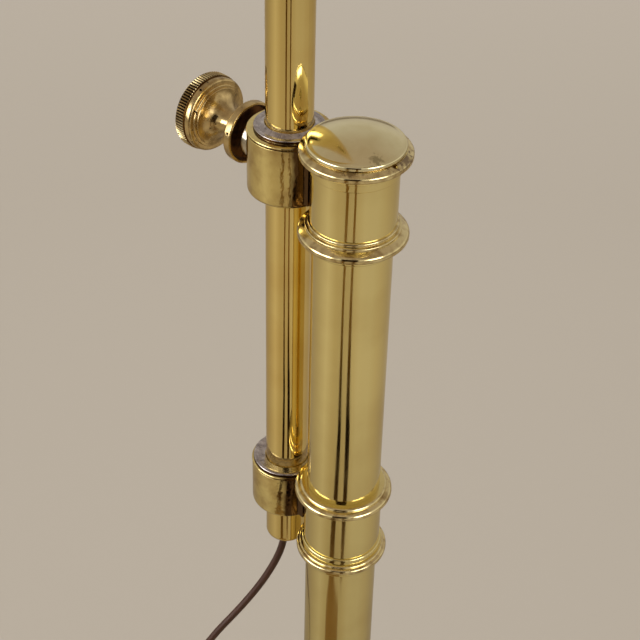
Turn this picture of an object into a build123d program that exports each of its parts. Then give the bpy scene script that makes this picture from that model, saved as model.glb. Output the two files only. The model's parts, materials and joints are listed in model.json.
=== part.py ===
from build123d import *
import math
import os

# Floor lamp with a sliding rod, in millimetres
# The origin is the middle of the base's underside, Z is up, and the rod stands on the -X side of the column

# Fits
running_fit = 0.06      # radial play of a piece that turns or slides
pressed_fit = 0.03      # radial play of a piece that is pressed, screwed or brazed in
loose_fit = 0.5         # play of a piece that is dropped in
rub_gap = 0.3           # between two bodies that pass each other
overrun = 1.0           # how far a cut reaches past the surface that it opens

# Base
base_radius = 125.0
base_wall = 1.5
base_lift = 1.0         # skirt's edge over the floor
skirt_top = 12.0
step_inset = 13.0       # from the skirt's side in to the step's side
step_top = 20.5
ledge_width = 9.0       # from the step's side in to where the dome starts
dome_bulge_share = 0.6  # radius of the dome's bulge, of where the dome starts
dome_bulge_top = 29.5
neck_radius = 26.0
neck_top = 42.0
skirt_round = 2.5
felt_thickness = 3.0
felt_inset = 9.0        # from the skirt's side in to the felt's edge
hub_radius = 21.0
pocket_radius = 20.0    # pocket under the weight for the washer and nut
pocket_top = 15.0
washer_radius = 16.0
washer_thickness = 2.0
nut_across_flats = 17.0
nut_thickness = 6.0
stud_radius = 5.0
stud_below_nut = 1.0

# Column
bead_height = 757.0     # middle of the cap's bead over the floor
column_radius = 13.52
column_wall = 1.25
foot_radius = 22.0
foot_height = 8.0
foot_round = 2.5
foot_spigot = 22.0
sleeve_radius = 14.4
bead_radius = 18.35
bead_half = 2.0
band_radius = 14.85     # narrow step under the bead
band_height = 3.3
upper_ring_radius = 18.46
upper_ring_half = 1.98
upper_ring_drop = 29.76
third_ring_radius = 18.04
third_ring_half = 1.96
third_ring_drop = 143.8
fourth_ring_radius = 17.17
fourth_ring_half = 1.88
fourth_ring_drop = 173.3
collarette_radius = 15.3   # small step above and below each ring
collarette_height = 1.0
cap_radius = 16.23
cap_edge = 1.28         # height of the cap's edge over the bead
cap_rise = 4.56         # height of the dome over its edge
cap_groove = 0.5
cap_groove_height = 0.5
cap_spigot = 12.0

# Rod
rod_offset = 29.28      # from the column's axis to the rod's
rod_radius = 8.0
rod_wall = 1.2
rod_length = 820.0
rod_foot_drop = 187.5   # rod's lower end under the bead
rod_end_height = 2.5
rod_end_round = 1.5
rod_end_spigot = 10.0

# Collars that guide the rod
upper_collar_radius = 14.3
upper_collar_top_drop = 4.59
upper_collar_bottom_drop = 26.43
lower_collar_radius = 13.48
lower_collar_top_drop = 147.7
lower_collar_bottom_drop = 168.3
collar_round = 0.8
upper_bush_radius = 12.75
upper_bush_top_drop = 2.3
lower_bush_radius = 12.9
lower_bush_top_drop = 146.3
bush_lip = 1.1
bush_slot_depth = 0.8   # depth of the slot under the lip, inside the collar's bore
bush_slot = 0.7         # how far the slot reaches down into the collar
collar_wall = 2.4
lug_half_width = 6.5
lug_inset = 2.0

# Clamp screw, measured outward from the rod's axis
screw_drop = 12.7       # screw's axis under the bead
screw_radius = 3.0
boss_radius = 7.75
boss_reach = 15.75
pad_length = 3.0
cup_start = 17.5
cup_end = 21.0
cup_radius = 10.93
cup_rim = 0.9
cup_depth = 2.3
bell_radius = 8.5
waist_start = 24.0
waist_end = 31.0
waist_radius = 3.3
stud_end = 22.6
neck_ring_radius = 10.0
neck_ring_end = 33.2
second_ring_radius = 11.7
second_ring_end = 34.8
smooth_band_radius = 13.0
smooth_band_end = 37.2
knurl_radius = 13.55
knurl_end = 40.35
knurl_depth = 0.4
knurl_teeth = 100
head_crown = 1.6        # rise of the outer face
crown_radius = 12.6

# Knuckles
ball_radius = 8.0
knuckle_reach = 25.5    # from a pivot to the end of the tube that carries its fork
slot_depth = 16.0
eye_half = 2.8
knuckle_washer = 0.5
washer_outer = 6.0
cheek_face = 6.8        # flat side of the fork, from the middle
stem_half_width = 5.5
ferrule_start = 13.5
pivot_radius = 2.5
pivot_head_radius = 4.6
pivot_head_height = 2.2
pivot_slot_width = 0.9
pivot_slot_depth = 1.0
pivot_nut_radius = 5.6
pivot_nut_height = 4.5
pivot_nut_teeth = 36
pivot_nut_knurl = 0.3
pivot_tail = 1.0        # screw's end past its nut

# Arm
arm_length = 250.0      # pivot to pivot
arm_radius = 5.0
arm_wall = 1.0
ferrule_radius = 7.0
ferrule_length = 5.0
arm_spigot = 12.0

# Head, measured down from its pivot
neck_flange_top = 14.0
neck_flange_radius = 7.0
cap_top = 16.0
nipple_radius = 4.0
nipple_end = 25.0
locknut_flats = 13.0
locknut_thickness = 3.0
socket_radius = 16.4
socket_wall = 1.0
socket_cap_radius = 17.5
socket_cap_shoulder = 27.0
socket_cap_end = 32.0
socket_cap_flat = 8.0
socket_cap_bulge_radius = 14.6
socket_cap_bulge = 19.6
socket_end = 86.0
socket_lip_top = 63.0
socket_lip_radius = 18.4
socket_lip_height = 3.0
switch_body_top = 33.5
switch_body_end = 47.5
switch_body_radius = 14.6
switch_axis = 40.0
switch_bush_radius = 3.4
switch_nut_radius = 5.5
switch_nut_thickness = 2.2
spindle_radius = 2.0
spindle_start = 5.0
spindle_end = 27.0
knob_start = 19.6
knob_end = 30.0
knob_radius = 8.0
knob_round = 1.0
knob_teeth = 28
knob_flute = 0.5
holder_top = 49.0
holder_floor = 54.0
holder_end = 84.0
holder_radius = 15.2
holder_bore = 14.1
screw_shell_radius = 13.9
screw_shell_wall = 0.4
screw_shell_end = 81.0
contact_radius = 3.2
contact_height = 1.5
bulb_cap_radius = 13.1
bulb_cap_end = 82.0
bulb_tip_radius = 5.0
bulb_tip_height = 2.0
bulb_neck_radius = 14.0
bulb_neck_end = 92.0
bulb_radius = 30.0
bulb_wall = 0.8
bulb_middle = 133.0
shade_wall = 0.8
shade_flat_radius = 24.0
shade_bulge_radius = 64.0
shade_bulge_depth = 40.0   # below the flat top
shade_mouth_radius = 90.0
shade_depth = 104.0
shade_bead = 1.3
shade_ring_radius = 19.6
shade_ring_height = 5.0

# Cord and plug
cord_radius = 1.5
wire_bore = 1.8
cord_bush_radius = 3.2
cord_bush_lip_radius = 4.8
cord_bush_lip = 1.5
cord_in_bush = 2.0      # how far the free cord reaches up into its bush
cord_angle = -136.6     # compass of the cord's plane, from +X
coil_turn_radius = 20.9
coil_step = 3.5         # between turns, and between layers
coil_layers = 4
coil_halves = 5         # half turns in a layer, besides the climb
coil_height = 2.5       # middle of the lowest layer over the floor
coil_tail = 3.0         # straight length at each end
tie_width = 4.5
tie_thickness = 0.7
tie_play = 0.35
tie_floor = 0.1
plug_length = 26.0
plug_width = 22.0
plug_thickness = 14.0
plug_round = 3.0
relief_length = 12.0
relief_start_radius = 3.6
relief_end_radius = 2.2
pin_length = 16.0
pin_width = 6.3
pin_thickness = 1.5
pin_apart = 12.7

# Sizes and places worked out from the sizes above
step_radius = base_radius - step_inset
dome_radius = step_radius - ledge_width
dome_bulge_radius = dome_radius * dome_bulge_share
felt_radius = base_radius - felt_inset
rod_x = -rod_offset
rod_foot = bead_height - rod_foot_drop
rod_top = rod_foot + rod_length
pivot_z = rod_top + knuckle_reach
head_x = rod_x + arm_length
column_bore = column_radius - column_wall
rod_bore = rod_radius - rod_wall
rod_hole = rod_radius + running_fit
foot_top = neck_top + foot_height
sleeve_bore = column_radius + pressed_fit
screw_z = bead_height - screw_drop
screw_hole = screw_radius + running_fit
quarter_turn = 90

# The free cord's route: travel away from the rod, drift to one side and height over the floor
cord_route = [
    (0.0, 0.0, rod_foot + cord_in_bush),
    (1.2, 0.0, 561.0),
    (4.9, 0.0, 549.5),
    (10.9, 0.0, 536.5),
    (19.8, 0.0, 521.5),
    (31.0, 0.0, 505.0),
    (44.0, 0.4, 479.5),
    (62.0, 1.2, 439.5),
    (80.0, 2.6, 390.0),
    (94.5, 4.0, 335.0),
    (104.5, 4.6, 278.0),
    (112.0, 4.2, 220.0),
    (119.0, 3.0, 164.0),
    (127.5, 1.6, 113.5),
    (140.5, 0.6, 69.5),
    (159.0, 0.2, 34.5),
    (183.0, 0.0, 11.5),
    (210.0, -0.8, 1.7),
    (235.0, -1.4, 1.8),
    (253.0, 0.0, coil_height),
    (266.0, 0.0, coil_height),
]
# The cord from the coil to the plug: travel from the coil's end and height against it
tail_route = [(0.0, 0.0), (9.0, 0.0), (22.0, -4.0), (33.0, -6.0), (42.0, -6.0)]
arc_share = 0.45        # of the shorter run, taken up by an arc's tangent


def disc(radius, low, high):
    """Round bar about Z between two heights."""
    return Pos(0, 0, low) * Cylinder(radius, high - low, align=(Align.CENTER, Align.CENTER, Align.MIN))


def ring(radius, bore, low, high):
    """Round bar with a bore right through it."""
    return disc(radius, low, high) - disc(bore, low - overrun, high + overrun)


def cone(low_radius, high_radius, low, high):
    """Cone about Z between two heights."""
    body = Cone(low_radius, high_radius, high - low, align=(Align.CENTER, Align.CENTER, Align.MIN))
    return Pos(0, 0, low) * body


def softened(shape, radius):
    """Shape with its round edges softened."""
    return fillet(shape.edges().filter_by(GeomType.CIRCLE), radius)


def hexagon(across_flats, low, high):
    """Hexagon bar about Z between two heights."""
    outline = RegularPolygon(across_flats / 2, 6, major_radius=False)
    return Pos(0, 0, low) * extrude(outline, high - low)


def knurled(radius, depth, teeth, low, high):
    """Bar about Z with straight pointed teeth round it."""
    points = []
    for step in range(2 * teeth):
        reach = radius - depth * (step % 2)
        angle = math.pi * step / teeth
        points.append((reach * math.cos(angle), reach * math.sin(angle), low))
    return extrude(make_face(Polyline(*points, close=True)), high - low, dir=(0, 0, 1))


def at_rod(shape):
    """Shape moved from the Z axis to the rod's axis."""
    return Pos(rod_x, 0, 0) * shape


def at_screw(shape):
    """Shape turned from Z to the clamp screw's axis, which points away from the column."""
    return Pos(rod_x, 0, screw_z) * Rot(0, -quarter_turn, 0) * shape


def across(shape):
    """Shape turned from Z to Y."""
    return Rot(-quarter_turn, 0, 0) * shape


# Base

def make_base_felt():
    return disc(felt_radius, 0, felt_thickness)


def make_base_weight():
    low = disc(base_radius - base_wall - loose_fit, felt_thickness, skirt_top - base_wall)
    high = disc(step_radius - base_wall - loose_fit, felt_thickness, step_top - base_wall)
    hub = disc(hub_radius, felt_thickness, neck_top - base_wall)
    pocket = disc(pocket_radius, felt_thickness - overrun, pocket_top)
    bore = disc(stud_radius + loose_fit, 0, neck_top)
    return low + high + hub - pocket - bore


def dome_outline(inset):
    """Outline of the base cover, moved inwards and down by its wall for the inner side."""
    skirt = Polyline(
        (0, 0, base_lift - inset * overrun),
        (base_radius - inset, 0, base_lift - inset * overrun),
        (base_radius - inset, 0, skirt_top - inset),
        (step_radius - inset, 0, skirt_top - inset),
        (step_radius - inset, 0, step_top - inset),
        (dome_radius, 0, step_top - inset),
    )
    dome = ThreePointArc(
        (dome_radius, 0, step_top - inset),
        (dome_bulge_radius, 0, dome_bulge_top - inset),
        (neck_radius, 0, neck_top - inset),
    )
    close = Polyline((neck_radius, 0, neck_top - inset), (0, 0, neck_top - inset),
                     (0, 0, base_lift - inset * overrun))
    return revolve(make_face(skirt + dome + close), axis=Axis.Z)


def make_base_shell():
    outside = dome_outline(0)
    rims = outside.edges().filter_by(GeomType.CIRCLE)
    corners = [edge for edge in rims if edge.radius > dome_radius and edge.center().Z > base_lift + overrun]
    outside = fillet([edge for edge in corners if abs(edge.radius - step_radius) > base_wall or
                      edge.center().Z > skirt_top + base_wall], skirt_round)
    return outside - dome_outline(base_wall) - disc(stud_radius + loose_fit, 0, neck_top + overrun)


def make_base_washer():
    return ring(washer_radius, stud_radius + loose_fit, pocket_top - washer_thickness, pocket_top)


def make_base_nut():
    high = pocket_top - washer_thickness
    low = high - nut_thickness
    thread = disc(stud_radius + pressed_fit, low - overrun, high + overrun)
    return hexagon(nut_across_flats, low, high) - thread


def make_column_foot():
    stud_end_z = pocket_top - washer_thickness - nut_thickness - stud_below_nut
    foot = softened(disc(foot_radius, neck_top, foot_top), foot_round)
    spigot = disc(column_bore - pressed_fit, foot_top - overrun, foot_top + foot_spigot)
    return foot + spigot + disc(stud_radius, stud_end_z, neck_top + overrun)


# Column

def turned_ring(radius, half, drop):
    """Round-edged ring on a sleeve, with a small step above and below."""
    middle = bead_height - drop
    edge = Pos(0, 0, middle) * Torus(radius - half, half)
    step = disc(collarette_radius, middle - half - collarette_height, middle + half + collarette_height)
    return edge + disc(radius - half, middle - half, middle + half) + step


def make_column_tube():
    return ring(column_radius, column_bore, foot_top, bead_height)


def make_upper_sleeve():
    top = bead_height + bead_half
    bottom = bead_height - upper_ring_drop - upper_ring_half - collarette_height
    bead = Pos(0, 0, bead_height) * Torus(bead_radius - bead_half, bead_half)
    flange = disc(bead_radius - bead_half, bead_height - bead_half, top)
    band = disc(band_radius, bead_height - bead_half - band_height, bead_height)
    body = disc(sleeve_radius, bottom, top) + band + flange + bead
    body += turned_ring(upper_ring_radius, upper_ring_half, upper_ring_drop)
    return body - disc(sleeve_bore, bottom - overrun, top + overrun)


def make_lower_sleeve():
    top = bead_height - third_ring_drop + third_ring_half + collarette_height
    bottom = bead_height - fourth_ring_drop - fourth_ring_half - collarette_height
    body = disc(sleeve_radius, bottom, top)
    body += turned_ring(third_ring_radius, third_ring_half, third_ring_drop)
    body += turned_ring(fourth_ring_radius, fourth_ring_half, fourth_ring_drop)
    return body - disc(sleeve_bore, bottom - overrun, top + overrun)


def make_column_cap():
    seat = bead_height + bead_half
    edge = seat + cap_edge
    sphere = (cap_radius ** 2 + cap_rise ** 2) / (2 * cap_rise)
    ball = Pos(0, 0, edge + cap_rise - sphere) * Sphere(sphere)
    dome = ball & disc(cap_radius, seat, edge + cap_rise + overrun)
    groove = ring(cap_radius + overrun, cap_radius - cap_groove, seat - overrun, seat + cap_groove_height)
    spigot = disc(column_bore - pressed_fit, seat - cap_spigot, seat + overrun)
    return dome + spigot - groove


# Collars, bushes and the screw's boss

def collar(radius, top_drop, bottom_drop):
    """Collar round the rod's bush, with the lug that joins it to a sleeve."""
    top = bead_height - top_drop
    bottom = bead_height - bottom_drop
    body = at_rod(softened(disc(radius, bottom, top), collar_round))
    lug_low = bottom + lug_inset
    lug_length = top - bottom - 2 * lug_inset
    lug = Pos(rod_x, 0, lug_low) * Box(rod_offset, 2 * lug_half_width, lug_length,
                                       align=(Align.MIN, Align.CENTER, Align.MIN))
    column_space = disc(max(sleeve_radius, band_radius) + pressed_fit, bottom, top)
    bore = at_rod(disc(radius - collar_wall, bottom - overrun, top + overrun))
    return body + (lug - column_space) - bore


def bush(radius, collar_radius, top_drop, collar_top_drop, bottom_drop):
    """Bush between a collar and the rod, with a lip over the collar and a slot under the lip."""
    top = bead_height - top_drop
    collar_top = bead_height - collar_top_drop
    bottom = bead_height - bottom_drop
    lip = disc(radius, top - bush_lip, top)
    neck = disc(collar_radius - collar_wall - bush_slot_depth, collar_top - bush_slot, top)
    barrel = disc(collar_radius - collar_wall - pressed_fit, bottom, collar_top - bush_slot)
    return at_rod(lip + neck + barrel - disc(rod_hole, bottom - overrun, top + overrun))


def make_upper_collar():
    body = collar(upper_collar_radius, upper_collar_top_drop, upper_collar_bottom_drop)
    return body - at_screw(disc(screw_hole, 0, upper_collar_radius + overrun))


def make_lower_collar():
    return collar(lower_collar_radius, lower_collar_top_drop, lower_collar_bottom_drop)


def make_upper_bush():
    body = bush(upper_bush_radius, upper_collar_radius, upper_bush_top_drop,
                upper_collar_top_drop, upper_collar_bottom_drop)
    return body - at_screw(disc(screw_hole, 0, upper_collar_radius + overrun))


def make_lower_bush():
    return bush(lower_bush_radius, lower_collar_radius, lower_bush_top_drop,
                lower_collar_top_drop, lower_collar_bottom_drop)


def make_screw_boss():
    body = at_screw(ring(boss_radius, screw_hole, 0, boss_reach))
    collar_space = at_rod(disc(upper_collar_radius + pressed_fit, rod_foot, rod_top))
    return body - collar_space


# Clamp

def make_clamp_pad():
    pad = at_screw(disc(screw_radius, 0, rod_radius + pad_length))
    return pad - at_rod(disc(rod_hole, rod_foot, rod_top))


def make_thumbscrew_stud():
    return at_screw(disc(screw_radius, rod_radius + pad_length, stud_end))


def make_thumbscrew_head():
    cup = disc(cup_radius, cup_start, cup_end)
    cup -= disc(cup_radius - cup_rim, cup_start - overrun, cup_start + cup_depth)
    bell = cone(bell_radius, waist_radius, cup_end, waist_start)
    waist = disc(waist_radius, waist_start, waist_end)
    flare = cone(waist_radius, neck_ring_radius, waist_end - overrun, waist_end)
    rings = disc(neck_ring_radius, waist_end, neck_ring_end)
    rings += disc(second_ring_radius, neck_ring_end, second_ring_end)
    rings += disc(smooth_band_radius, second_ring_end, smooth_band_end)
    grip = knurled(knurl_radius, knurl_depth, knurl_teeth, smooth_band_end, knurl_end)
    crown = cone(crown_radius, crown_radius - head_crown, knurl_end, knurl_end + head_crown)
    stud_bore = disc(screw_radius + pressed_fit, cup_start, stud_end)
    return at_screw(cup + bell + waist + flare + rings + grip + crown - stud_bore)


# Rod

def make_cord_bush():
    lip_low = rod_foot + rod_end_height + rod_end_spigot
    body = disc(cord_bush_radius, rod_foot, lip_low + cord_bush_lip)
    lip = disc(cord_bush_lip_radius, lip_low, lip_low + cord_bush_lip)
    bore = disc(wire_bore, rod_foot - overrun, lip_low + cord_bush_lip + overrun)
    return at_rod(body + lip - bore)


def make_rod_end():
    low = rod_foot + rod_end_height
    body = disc(rod_radius, rod_foot, low)
    body = fillet(body.edges().filter_by(GeomType.CIRCLE).sort_by(Axis.Z)[0], rod_end_round)
    spigot = disc(rod_bore - pressed_fit, low - overrun, low + rod_end_spigot)
    bore = disc(cord_bush_radius + running_fit, rod_foot - overrun, low + rod_end_spigot + overrun)
    return at_rod(body + spigot - bore)


def make_rod_tube():
    return at_rod(ring(rod_radius, rod_bore, rod_foot + rod_end_height, rod_top))


def make_rod_wire():
    low = rod_foot + rod_end_height + rod_end_spigot + cord_bush_lip + rub_gap
    return at_rod(disc(cord_radius, low, pivot_z - slot_depth - rub_gap))


# Knuckles, made with the pivot at the origin and turned to their places

def fork_shape(spigot_radius, spigot_length):
    """Slotted ball end that stands on a tube below it."""
    body = disc(ball_radius, -knuckle_reach, 0) + Sphere(ball_radius)
    body += disc(spigot_radius, -knuckle_reach - spigot_length, -knuckle_reach + overrun)
    slot_half = eye_half + knuckle_washer
    height = slot_depth + ball_radius + overrun
    width = 2 * (ball_radius + overrun)
    slot = Box(width, 2 * slot_half, height, align=(Align.CENTER, Align.CENTER, Align.MIN))
    body -= Pos(0, 0, -slot_depth) * slot
    for side in (-1, 1):
        flat = Pos(0, side * (cheek_face + ball_radius), -slot_depth)
        body -= flat * Box(width, 2 * ball_radius, height, align=(Align.CENTER, Align.CENTER, Align.MIN))
    body -= across(disc(pivot_radius + pressed_fit, -width, width))
    return body - disc(wire_bore, -knuckle_reach - spigot_length - overrun, 0)


def tongue_shape(stem_length):
    """Flat eye between the fork's cheeks, with a stem that points down."""
    eye = across(disc(ball_radius, -eye_half, eye_half)) & Sphere(ball_radius)
    stem = Box(2 * stem_half_width, 2 * eye_half, stem_length, align=(Align.CENTER, Align.CENTER, Align.MAX))
    return eye + stem - across(disc(pivot_radius + running_fit, -ball_radius, ball_radius))


def washers_shape():
    washers = []
    for low in (-eye_half - knuckle_washer, eye_half):
        washers.append(across(ring(washer_outer, pivot_radius + running_fit, low, low + knuckle_washer)))
    return Compound(children=washers)


def pivot_screw_shape():
    end = cheek_face + pivot_nut_height + pivot_tail
    shank = disc(pivot_radius, -end, cheek_face + overrun)
    head = disc(pivot_head_radius, cheek_face, cheek_face + pivot_head_height)
    head = fillet(head.edges().filter_by(GeomType.CIRCLE).sort_by(Axis.Z)[-1], pivot_head_height / 2)
    top = cheek_face + pivot_head_height
    slot = Pos(0, 0, top) * Box(2 * pivot_head_radius, pivot_slot_width, 2 * pivot_slot_depth)
    return across(shank + head - slot)


def pivot_nut_shape():
    low = -cheek_face - pivot_nut_height
    body = knurled(pivot_nut_radius, pivot_nut_knurl, pivot_nut_teeth, low, -cheek_face)
    return across(body - disc(pivot_radius + pressed_fit, low - overrun, -cheek_face + overrun))


def at_rod_pivot(shape):
    return Pos(rod_x, 0, pivot_z) * shape


def at_head_pivot(shape):
    return Pos(head_x, 0, pivot_z) * shape


def along_arm(shape):
    """Shape turned so that what pointed down points along the arm, away from the rod."""
    return Rot(0, -quarter_turn, 0) * shape


def toward_rod(shape):
    """Shape turned so that what pointed down points back along the arm."""
    return Rot(0, quarter_turn, 0) * shape


def make_rod_fork():
    return at_rod_pivot(fork_shape(rod_bore - pressed_fit, rod_end_spigot))


def make_arm_tongue():
    body = tongue_shape(ferrule_start + overrun)
    end = ferrule_start + ferrule_length
    body += disc(ferrule_radius, -end, -ferrule_start)
    body += disc(arm_radius - arm_wall - pressed_fit, -end - arm_spigot, -end + overrun)
    body -= disc(wire_bore, -end - arm_spigot - overrun, -ferrule_start)
    return at_rod_pivot(along_arm(body))


def make_arm_tube():
    low = -(arm_length - knuckle_reach)
    high = -ferrule_start - ferrule_length
    return at_rod_pivot(along_arm(ring(arm_radius, arm_radius - arm_wall, low, high)))


def make_arm_wire():
    low = -(arm_length - slot_depth - rub_gap)
    return at_rod_pivot(along_arm(disc(cord_radius, low, -ferrule_start - rub_gap)))


def make_arm_fork():
    return at_head_pivot(toward_rod(fork_shape(arm_radius - arm_wall - pressed_fit, arm_spigot)))


# Head, made with its pivot at the origin

def make_head_tongue():
    body = tongue_shape(neck_flange_top + overrun)
    body += disc(neck_flange_radius, -cap_top, -neck_flange_top)
    body += disc(nipple_radius, -nipple_end, -cap_top + overrun)
    return at_head_pivot(body - disc(wire_bore, -nipple_end - overrun, -neck_flange_top))


def cup_outline(inset):
    """Outline of the socket's cap, moved inwards by its wall for the inner side."""
    side = Polyline(
        (0, 0, -socket_cap_end - inset * overrun),
        (socket_cap_radius - inset, 0, -socket_cap_end - inset * overrun),
        (socket_cap_radius - inset, 0, -socket_cap_shoulder),
    )
    dome = ThreePointArc(
        (socket_cap_radius - inset, 0, -socket_cap_shoulder),
        (socket_cap_bulge_radius - inset, 0, -socket_cap_bulge - inset),
        (socket_cap_flat, 0, -cap_top - inset),
    )
    close = Polyline((socket_cap_flat, 0, -cap_top - inset), (0, 0, -cap_top - inset),
                     (0, 0, -socket_cap_end - inset * overrun))
    return revolve(make_face(side + dome + close), axis=Axis.Z)


def make_socket_cap():
    body = cup_outline(0) - cup_outline(socket_wall)
    return at_head_pivot(body - disc(nipple_radius + pressed_fit, -socket_cap_end, 0))


def make_socket_locknut():
    high = -cap_top - socket_wall
    low = high - locknut_thickness
    return at_head_pivot(hexagon(locknut_flats, low, high) -
                         disc(nipple_radius + pressed_fit, low - overrun, high + overrun))


def make_socket_shell():
    body = disc(socket_radius, -socket_end, -socket_cap_shoulder)
    body += disc(socket_lip_radius, -socket_lip_top - socket_lip_height, -socket_lip_top)
    body -= disc(socket_radius - socket_wall, -socket_end - overrun, -socket_cap_shoulder + overrun)
    return at_head_pivot(body) - at_switch(disc(switch_bush_radius + pressed_fit, 0, socket_radius + overrun))


def at_switch(shape):
    """Shape turned from Z to the switch's axis, which points away from the rod."""
    return at_head_pivot(Pos(0, 0, -switch_axis) * Rot(0, quarter_turn, 0) * shape)


def make_switch_body():
    body = at_head_pivot(disc(switch_body_radius, -switch_body_end, -switch_body_top))
    body += at_switch(disc(switch_bush_radius, 0, socket_radius + switch_nut_thickness))
    return body - at_switch(disc(spindle_radius + running_fit, spindle_start - rub_gap, knob_end))


def make_switch_nut():
    nut = ring(switch_nut_radius, switch_bush_radius + pressed_fit, 0, socket_radius + switch_nut_thickness)
    shell_space = at_head_pivot(disc(socket_radius + pressed_fit, -socket_end, 0))
    return at_switch(nut) - shell_space


def make_switch_spindle():
    return at_switch(disc(spindle_radius, spindle_start, spindle_end))


def make_switch_knob():
    crest = knob_radius - knob_flute
    body = knurled(knob_radius, knob_flute, knob_teeth, knob_start, knob_end - knob_round)
    body += cone(crest, crest - knob_round, knob_end - knob_round, knob_end)
    return at_switch(body - disc(spindle_radius + pressed_fit, knob_start - overrun, spindle_end))


def make_lampholder():
    body = disc(holder_radius, -holder_end, -holder_top)
    return at_head_pivot(body - disc(holder_bore, -holder_end - overrun, -holder_floor))


def make_screw_shell():
    bore = screw_shell_radius - screw_shell_wall
    return at_head_pivot(ring(screw_shell_radius, bore, -screw_shell_end, -holder_floor))


def make_centre_contact():
    return at_head_pivot(disc(contact_radius, -holder_floor - contact_height, -holder_floor))


def make_bulb_cap():
    tip_top = -holder_floor - contact_height
    body = disc(bulb_cap_radius, -bulb_cap_end, tip_top - bulb_tip_height)
    body -= disc(bulb_cap_radius - screw_shell_wall, -bulb_cap_end - overrun, tip_top - 2 * bulb_tip_height)
    tip = cone(bulb_cap_radius - bulb_tip_radius, bulb_tip_radius, tip_top - bulb_tip_height, tip_top)
    return at_head_pivot(body + tip)


def bulb_shape(inset):
    """Bulb's globe and neck, smaller by its wall for the inner side."""
    globe = Pos(0, 0, -bulb_middle) * Sphere(bulb_radius - inset)
    neck = cone(bulb_radius - bulb_neck_radius / 2 - inset, bulb_neck_radius - inset,
                -bulb_middle + bulb_radius / 2, -bulb_neck_end)
    stem = disc(bulb_neck_radius - inset, -bulb_neck_end, -socket_end - rub_gap - inset)
    return globe + neck + stem


def make_bulb_glass():
    foot = disc(bulb_cap_radius, -socket_end - rub_gap - bulb_wall, -bulb_cap_end)
    return at_head_pivot(bulb_shape(0) + foot - bulb_shape(bulb_wall))


def shade_outline(inset):
    """Outline of the shade, moved inwards and down by its wall for the inner side."""
    top = -socket_lip_top - socket_lip_height
    mouth = top - shade_depth
    dome = ThreePointArc(
        (shade_flat_radius, 0, top - inset),
        (shade_bulge_radius - inset, 0, top - shade_bulge_depth - inset),
        (shade_mouth_radius - inset, 0, mouth - inset * overrun),
    )
    close = Polyline(
        (shade_mouth_radius - inset, 0, mouth - inset * overrun),
        (0, 0, mouth - inset * overrun),
        (0, 0, top - inset),
        (shade_flat_radius, 0, top - inset),
    )
    return revolve(make_face(dome + close), axis=Axis.Z)


def make_shade():
    top = -socket_lip_top - socket_lip_height
    body = shade_outline(0) - shade_outline(shade_wall)
    body += Pos(0, 0, top - shade_depth) * Torus(shade_mouth_radius, shade_bead)
    return at_head_pivot(body - disc(socket_radius + pressed_fit, top - overrun - shade_wall, top + overrun))


def make_shade_ring():
    high = -socket_lip_top - socket_lip_height - shade_wall
    return at_head_pivot(ring(shade_ring_radius, socket_radius + pressed_fit, high - shade_ring_height, high))


# Cord

def cord_point(side, drift, height):
    """Place of a point of the route, from its travel away from the rod."""
    turn = math.radians(cord_angle)
    x = rod_x + side * math.cos(turn) + drift * math.sin(turn)
    y = side * math.sin(turn) - drift * math.cos(turn)
    return (x, y, height)


def section_share(tube, length):
    """Volume of a cord's tube over that of a straight cord as long, which is 1 where the tube is sound."""
    return round(tube.volume / (math.pi * cord_radius ** 2 * length), 4)


def cord_tube(name, points):
    """Round cord along straight runs joined by tangent arcs, each as large as its runs allow."""
    runs = [math.dist(a, b) for a, b in zip(points, points[1:])]
    radii = []
    turns = []
    for i in range(1, len(points) - 1):
        before = Vector(*points[i]) - Vector(*points[i - 1])
        after = Vector(*points[i + 1]) - Vector(*points[i])
        turn = before.get_angle(after)
        turns.append(turn)
        radii.append(arc_share * min(runs[i - 1], runs[i]) / math.tan(math.radians(turn / 2)))
    path = FilletPolyline(*points, radius=radii)
    start = Plane(origin=points[0], z_dir=Vector(*points[1]) - Vector(*points[0]))
    tube = sweep(start * Circle(cord_radius), path=path)
    print(name, "runs", [round(run) for run in runs], "radii", [round(radius) for radius in radii])
    print(name, "turns", [round(turn) for turn in turns], "length", round(path.length, 1),
          "volume over section times length", section_share(tube, path.length))
    return tube


def coil_half_turns():
    """Each half turn of the coil: middle, radius, side, height and climb."""
    halves = []
    middle = coil_turn_radius
    height = coil_height
    side = 1
    last = coil_turn_radius
    for layer in range(coil_layers):
        steps = list(range(coil_halves))
        if layer % 2:
            steps.reverse()
        radii = [(coil_turn_radius - step * coil_step / 2, 0) for step in steps]
        if layer < coil_layers - 1:
            beyond = coil_halves if layer % 2 == 0 else -1
            radii.append((coil_turn_radius - beyond * coil_step / 2, coil_step))
        for radius, climb in radii:
            middle += side * (radius - last)
            halves.append((middle, radius, side, height, climb))
            height += climb
            last = radius
            side = -side
    return halves


def coil_place(along, across_it, height):
    """Place of a point of the coil, from where the straight cord meets it."""
    return cord_point(cord_route[-1][0] + coil_tail + along, across_it, height)


def coil_path():
    """The coil's line: quarter-turn arcs, climbing a layer where the spiral reverses."""
    edges = [Line(coil_place(-coil_tail, 0, coil_height), coil_place(0, 0, coil_height))]
    for middle, radius, side, height, climb in coil_half_turns():
        turn_side = side * math.sqrt(radius ** 2 + (climb / 2) ** 2)
        start = coil_place(0, middle - side * radius, height)
        crest = coil_place(turn_side, middle, height + climb / 2)
        end = coil_place(0, middle + side * radius, height + climb)
        out = Vector(*coil_place(side * coil_tail, 0, 0)) - Vector(*coil_place(0, 0, 0))
        edges.append(TangentArc(start, crest, tangent=out))
        edges.append(TangentArc(crest, end, tangent=edges[-1] % 1))
    middle, radius, side, height, climb = coil_half_turns()[-1]
    last = middle + side * radius
    edges.append(Line(coil_place(0, last, height), coil_place(-side * coil_tail, last, height)))
    return edges


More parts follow.
